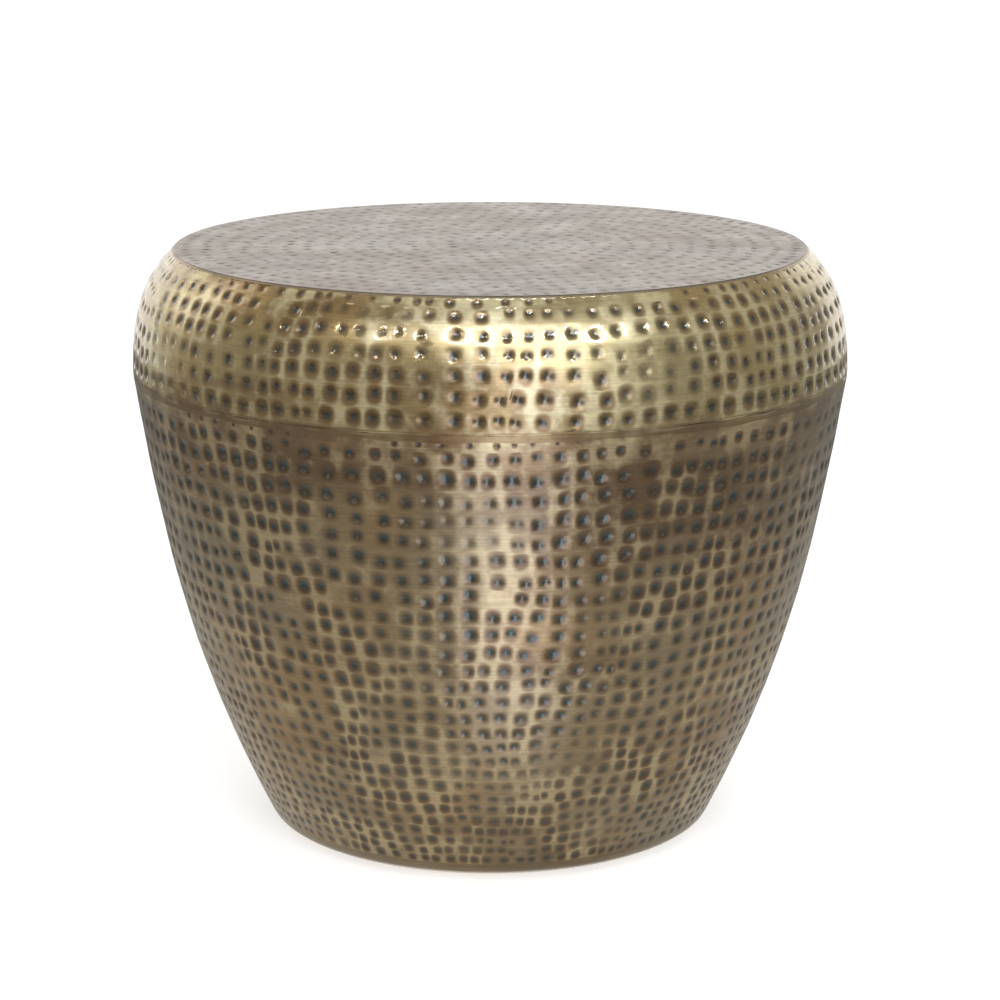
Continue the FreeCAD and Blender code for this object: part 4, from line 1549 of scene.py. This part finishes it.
@dataclass
class SeamBead:
    """Ring of braze in the joggle, dressed by hand, with cracks along the skirt's edge.

    crack_width, crack_strength and crack_reach say how wide and how full the cracks are, from the
    least to the most, and how far down the bead they reach, as a share of it.
    """

    line: DrumLine
    columns: int = 720
    across: int = 7
    uneven: float = 0.03 * MM
    feather: float = 1.2 * MM
    proud: float = 0.02 * MM
    crack_depth: float = 0.9 * MM
    cracks: int = 34
    crack_width: Pair = (0.006, 0.04)
    crack_strength: Pair = (0.35, 1.0)
    crack_reach: float = 0.22
    seed: int = 51

    def crack(self, angle: Floats, rng: Random) -> Floats:
        """How cracked the skirt's edge is: the strongest bell strength exp(-(gap / width) squared).

        Args:
            angle: angles round the drum.
            rng: source of the cracks' places and sizes.
        Returns:
            The shares, from 0 to 1.
        """
        middle, width, strength = (rng.uniform(*limits, self.cracks)[:, None] for limits in
                                   ((0, TURN), self.crack_width, self.crack_strength))
        gap = (angle - middle + math.pi) % TURN - math.pi
        return (strength * np.exp(-(gap / width) ** 2)).max(axis=0)

    def about_bend(self, radius: Floats | float, heading: Floats, angle: Floats) -> Floats:
        """Points round the drum, at a radius and a heading about the belly turn's centre."""
        across, up = self.line.belly_centre
        return turned(across + radius * np.cos(heading), up + radius * np.sin(heading), angle)

    def build(self) -> bpy.types.Object:
        """Turn the bead's section: its face lies in from the drum's line by the unevenness and the cracks.

        Returns:
            The piece.
        """
        rng = np.random.default_rng(self.seed)
        angle = np.arange(self.columns) * TURN / self.columns
        share = np.linspace(0, 1, self.across)[:, None]
        low, high = -self.line.joggle_angle, -self.line.skirt_angle
        feather = self.feather * (1 + 0.5 * waves(rng, angle, 7, 45)).clip(0.2)
        heading = high + (low - feather / self.line.belly_bend - high) * share
        depth = self.uneven * (1 + waves(rng, angle, 20, 60)).clip(0.1) * (1 - share) - self.proud * share
        crack = self.crack(angle, rng)
        near_edge = np.exp(-(share / self.crack_reach) ** 2)
        depth = depth + self.crack_depth * crack * near_edge
        parts = MeshParts()
        face = parts.add(self.about_bend(self.line.belly_bend - depth, heading, angle))
        # painted shade: each crack's mark is as full as the crack is sunk, so the braze is painted near
        # black in it
        sunk = crack * near_edge
        crack_shade_mark = np.stack([1 - sunk, np.zeros_like(sunk), np.full_like(sunk, 0.5), sunk,
                               np.full_like(sunk, 0.3)], axis=-1)
        back_radius = self.line.neck_radius - self.line.braze_gap
        back = parts.add(self.about_bend(back_radius, np.array([[low], [high]]), angle))
        parts.join(face[1:], face[:-1], crack_shade_mark[1:], crack_shade_mark[:-1])
        loop = [face[-1], *back, face[0]]
        for upper, lower in zip(loop, loop[1:]):
            parts.join(lower, upper)
        parts.creases.extend([face[0], face[-1], *back])
        piece = parts.build("seam_bead")
        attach(piece, BODY)
        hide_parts("seam_braze")
        dress(piece, Finish.BRAZE)
        return piece


@dataclass
class Fittings:
    """Bars, feet and fasteners, which keep their solids' shapes and get their own finishes."""

    finishes: dict[str, Finish] = field(default_factory=lambda: {
        "top_brace_upper": Finish.BAR_STEEL,
        "top_brace_lower": Finish.BAR_STEEL,
        "foot_1": Finish.RUBBER,
        "foot_2": Finish.RUBBER,
        "foot_3": Finish.RUBBER,
        "foot_4": Finish.RUBBER,
        "foot_screws": Finish.ZINC,
        "foot_washers": Finish.ZINC,
        "foot_nuts": Finish.ZINC,
    })

    def dress(self) -> None:
        """Give each solid its finish."""
        for node, finish in self.finishes.items():
            for piece in node_objects(node):
                dress(piece, finish)
            log.info("%s dressed", node)


def node_objects(node: str) -> list[bpy.types.Object]:
    """The frame's objects of a node."""
    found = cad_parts[node]
    return list(found) if isinstance(found, (list, tuple)) else [found]


# ---------------------------------------------------------------- studio

def put_on_stage(name: str, points: Floats, faces: Ints, material: bpy.types.Material) -> bpy.types.Object:
    """Put a smooth sheet on the stage.

    Args:
        name: its name.
        points: its coordinates.
        faces: its faces.
        material: its material.
    Returns:
        The object.
    """
    mesh = bpy.data.meshes.new(name)
    mesh.from_pydata(points.reshape(-1, 3).tolist(), [], faces.tolist())
    mesh.polygons.foreach_set("use_smooth", [True] * len(mesh.polygons))
    sheet = bpy.data.objects.new(name, mesh)
    bpy.context.scene.collection.objects.link(sheet)
    sheet.data.materials.append(material)
    return sheet


def put_up_glow(name: str, points: Floats, light: Floats, clear: bool = False) -> bpy.types.Object:
    """Put up a card that gives off light, which only the metal mirrors.

    Args:
        name: its name.
        points: a grid of coordinates.
        light: the colour and strength of the light at each point.
        clear: whether what lies behind it shows through.
    Returns:
        The card.
    """
    index = np.arange(points.shape[0] * points.shape[1]).reshape(points.shape[:2])
    faces = np.stack([index[:-1, :-1], index[1:, :-1], index[1:, 1:], index[:-1, 1:]], axis=-1)
    graph = Graph.blank(name)
    glow = graph.add("Emission", {"Color": graph.attribute("shade", "Color")})[0]
    if clear:
        glow = graph.add("AddShader", {0: glow, 1: graph.add("BsdfTransparent")[0]})[0]
    card = put_on_stage(name, points, faces.reshape(-1, 4), graph.surface(glow))
    painted = card.data.attributes.new("shade", "FLOAT_COLOR", "POINT")
    rgba = np.concatenate([light, np.ones((*light.shape[:2], 1))], axis=-1)
    painted.data.foreach_set("color", rgba.reshape(-1).astype(np.float32))
    card.visible_camera = card.visible_diffuse = card.visible_shadow = False
    card.visible_transmission = card.visible_volume_scatter = False
    return card


def aim(place: Place) -> Quaternion:
    """Turn that faces a lamp or a glow from its place to the middle of the drum."""
    return (Vector(DRUM_MIDDLE) - Vector(place)).to_track_quat("-Z", "Y")


@dataclass(frozen=True)
class Lamp:
    """White soft box of a size, at a place, aimed at the middle of the drum."""

    name: str
    place: Place
    size: Pair
    power: float
    mirrored: bool = True

    def hang(self) -> None:
        """Put the lamp in the scene, seen in the metal or not."""
        light = bpy.data.lights.new(self.name, "AREA")
        light.shape = "RECTANGLE"
        light.size, light.size_y = self.size
        light.energy = self.power
        lamp = bpy.data.objects.new(self.name, light)
        lamp.location = self.place
        lamp.visible_glossy = self.mirrored
        lamp.rotation_euler = aim(self.place).to_euler()
        bpy.context.scene.collection.objects.link(lamp)


@dataclass(frozen=True)
class Glow:
    """Bright card with soft edges, aimed at the drum, that only the metal mirrors."""

    name: str
    place: Place
    size: Pair
    light: float
    colour: Colour

    def hang(self) -> None:
        """Put the card up: exp(-(3.6 x) squared - (2.5 y) to the fourth), in shares of its size."""
        share = np.linspace(-0.5, 0.5, 41)
        across, up = np.meshgrid(share, share, indexing="ij")
        shade = np.exp(-(3.6 * across) ** 2 - (2.5 * up) ** 4)
        flat = np.stack([across * self.size[0], up * self.size[1], np.zeros_like(up)], axis=-1)
        points = flat @ np.array(aim(self.place).to_matrix()).T + np.array(self.place)
        light = shade[..., None] * self.light * np.array(self.colour)
        put_up_glow(self.name, points, light, clear=True)


@dataclass
class Studio:
    """Pale floor that sweeps up into a backdrop, soft boxes, and cards for the metal to mirror.

    Lengths are in metres, and the bearing and spread of the card's band of light in degrees.
    """

    floor_reach: float = 3.0
    far_reach: float = 18.0
    wall_distance: float = 3.0
    wall_height: float = 2.2
    sweep_radius: float = 0.8
    card_reach: Pair = (0.165, 2.9)
    card_tone: Colour = (0.226, 0.219, 0.200)
    card_light: Colour = (1.32, 1.36, 1.50)
    light_bearing: float = 6.0
    light_spread: float = 12.0
    light_start: float = 0.24
    light_rise: float = 0.22
    room: Colour = (0.36, 0.355, 0.34)
    overhead: Colour = (0.44, 0.44, 0.42)
    paper_tone: Colour = (0.80, 0.80, 0.80)
    paper_lift: float = 0.64
    lamps: tuple[Lamp, ...] = (
        Lamp("front_window", (0.29, -2.6, 1.6), (0.9, 2.9), 46.0, mirrored=False),
        Lamp("back_top", (0.0, 1.3, 2.6), (2.0, 1.4), 13.0),
    )
    glows: tuple[Glow, ...] = (
        Glow("window_glow", (0.46, -2.6, 1.6), (2.0, 4.2), 1.95, (0.89, 0.99, 1.32)),
        Glow("right_glow", (1.05, -2.3, 1.6), (1.4, 3.0), 2.0, (0.97, 0.99, 1.03)),
        Glow("low_glow", (0.12, -1.6, 0.19), (1.2, 0.36), 0.62, (0.90, 0.98, 1.30)),
        Glow("high_glow", (0.25, -1.7, 2.3), (3.2, 0.44), 2.6, (0.89, 0.99, 1.32)),
        Glow("spark", (-0.36, -2.2, 2.45), (0.36, 0.20), 95.0, (0.92, 1.0, 1.20)),
        Glow("left_spark", (-1.5, -1.75, 2.3), (0.19, 0.15), 95.0, (0.92, 1.0, 1.20)),
        Glow("right_spark", (1.45, -1.8, 2.3), (0.34, 0.22), 80.0, (0.92, 1.0, 1.20)),
        Glow("side_glow", (-2.1, 1.1, 1.5), (1.2, 2.2), 1.5, (1.0, 0.99, 0.95)),
    )

    def build(self) -> None:
        """Set up the floor, the card, the lamps and the room."""
        self.sweep()
        self.card()
        for lamp in self.lamps:
            lamp.hang()
        for glow in self.glows:
            glow.hang()
        self.light_room()

    def light_room(self) -> None:
        """Give the room one dim tone, a little lighter straight overhead."""
        world = bpy.data.worlds.new("room")
        bpy.context.scene.world = world
        graph = Graph(world)
        upward = graph.split(graph.add("TexCoord")["Generated"])[2]
        tone = graph.blend(graph.fade(upward, 0.80, 0.96), self.room, self.overhead)
        graph.put(graph.tree.nodes["Background"].inputs["Color"], tone)

    def sweep(self) -> None:
        """Lay the floor: flat, then a quarter turn, then plumb, and more floor for the camera alone."""
        turn = np.linspace(0, math.pi / 2, 13)
        bend = self.wall_distance - self.sweep_radius + self.sweep_radius * np.sin(turn)
        depth = np.concatenate([[-self.floor_reach], bend, [self.wall_distance]])
        height = np.concatenate([[0.0], self.sweep_radius * (1 - np.cos(turn)), [self.wall_height]])
        side = np.array([-1.0, 1.0])[:, None] * self.floor_reach
        points = np.stack(np.broadcast_arrays(side, depth, height), axis=-1)
        count = len(depth)
        near = np.arange(count - 1)
        faces = np.stack([near, near + count, near + count + 1, near + 1], axis=-1)
        put_on_stage("floor_sweep", points, faces, self.paper())
        far = np.array([-1.0, 1.0]) * self.far_reach
        corners = np.stack(np.broadcast_arrays(far[:, None], far[None, :], -2 * MM), axis=-1)
        beyond = put_on_stage("floor_beyond", corners, np.array([[0, 2, 3, 1]]), self.paper())
        beyond.visible_diffuse = beyond.visible_glossy = beyond.visible_shadow = False

    def card(self) -> bpy.types.Object:
        """Lay a graduated card on the floor round the drum, which only the metal sees.

        Its tone is the card's own times 0.87 + 1.08 exp(-(reach / 0.9) squared), so it darkens
        outwards. A soft-edged band towards the front goes over to the card's light: the band's
        share is exp(-(bearing off the band / spread) to the fourth), and it starts to rise a little
        way off the base.

        Returns:
            The card.
        """
        bearing = np.linspace(-180.0, 180.0, 181)
        first, last = self.card_reach
        reach = (first + (last - first) * np.linspace(0, 1, 25) ** 2)[:, None]
        points = turned(reach, 2 * MM, np.radians(bearing - 90))
        band = np.exp(-np.abs((bearing - self.light_bearing) / self.light_spread) ** 4)
        band = band * np.clip((reach - self.light_start) / self.light_rise, 0.0, 1.0)
        tone = (0.87 + 1.08 * np.exp(-(reach / 0.9) ** 2))[..., None] * np.array(self.card_tone)
        colour = tone + band[..., None] * (np.array(self.card_light) - tone)
        return put_up_glow("graduated_card", points, colour)

    def paper(self) -> bpy.types.Material:
        """White paper: matt, and lifted to white for the camera and in reflections.

        Returns:
            The material, which still takes the drum's shadow.
        """
        graph = Graph.blank("white_paper")
        rays = graph.add("LightPath")
        seen = rays["Is Camera Ray"]
        for kind in ("Is Glossy Ray", "Is Transmission Ray"):
            seen = graph.math("MAXIMUM", seen, rays[kind])
        matt = graph.add("BsdfDiffuse", {"Color": self.paper_tone})[0]
        glow = graph.add("Emission", {"Strength": graph.product(seen, self.paper_lift)})[0]
        return graph.surface(graph.add("AddShader", {0: matt, 1: glow})[0])


@dataclass(frozen=True)
class Camera:
    """Camera in front of the drum, looking a little down on it."""

    distance: float = 2.3
    height: float = 0.79201
    pitch_down: float = 0.231149
    focal_pixels: float = 3056.25
    frame_pixels: float = 1000.0
    axis_pixel: float = 490.2
    sensor: float = 36.0

    def set_up(self) -> None:
        """Place the camera: the lens and the shift follow from the frame's width in pixels."""
        data = bpy.data.cameras.new("camera")
        data.sensor_width = self.sensor
        data.lens = self.sensor * self.focal_pixels / self.frame_pixels
        data.shift_x = (self.frame_pixels / 2 - self.axis_pixel) / self.frame_pixels
        camera = bpy.data.objects.new("camera", data)
        camera.location = (0.0, -self.distance, self.height)
        camera.rotation_euler = (math.pi / 2 - self.pitch_down, 0.0, 0.0)
        bpy.context.scene.collection.objects.link(camera)
        bpy.context.scene.camera = camera


def main() -> None:
    """Build the studio and the table, and log each piece's counts of points and faces."""
    logging.basicConfig(level=logging.INFO, format="%(message)s")
    bpy.context.scene.view_settings.view_transform = "Standard"
    Camera().set_up()
    Studio().build()
    line = DrumLine()
    for maker in (TopSheet(line), ShoulderSheet(line), LowerSheet(line), SeamBead(line)):
        piece = maker.build()
        log.info("%s: %d points, %d faces", piece.name, len(piece.data.vertices), len(piece.data.polygons))
    Fittings().dress()


if __name__ == "__main__":
    main()
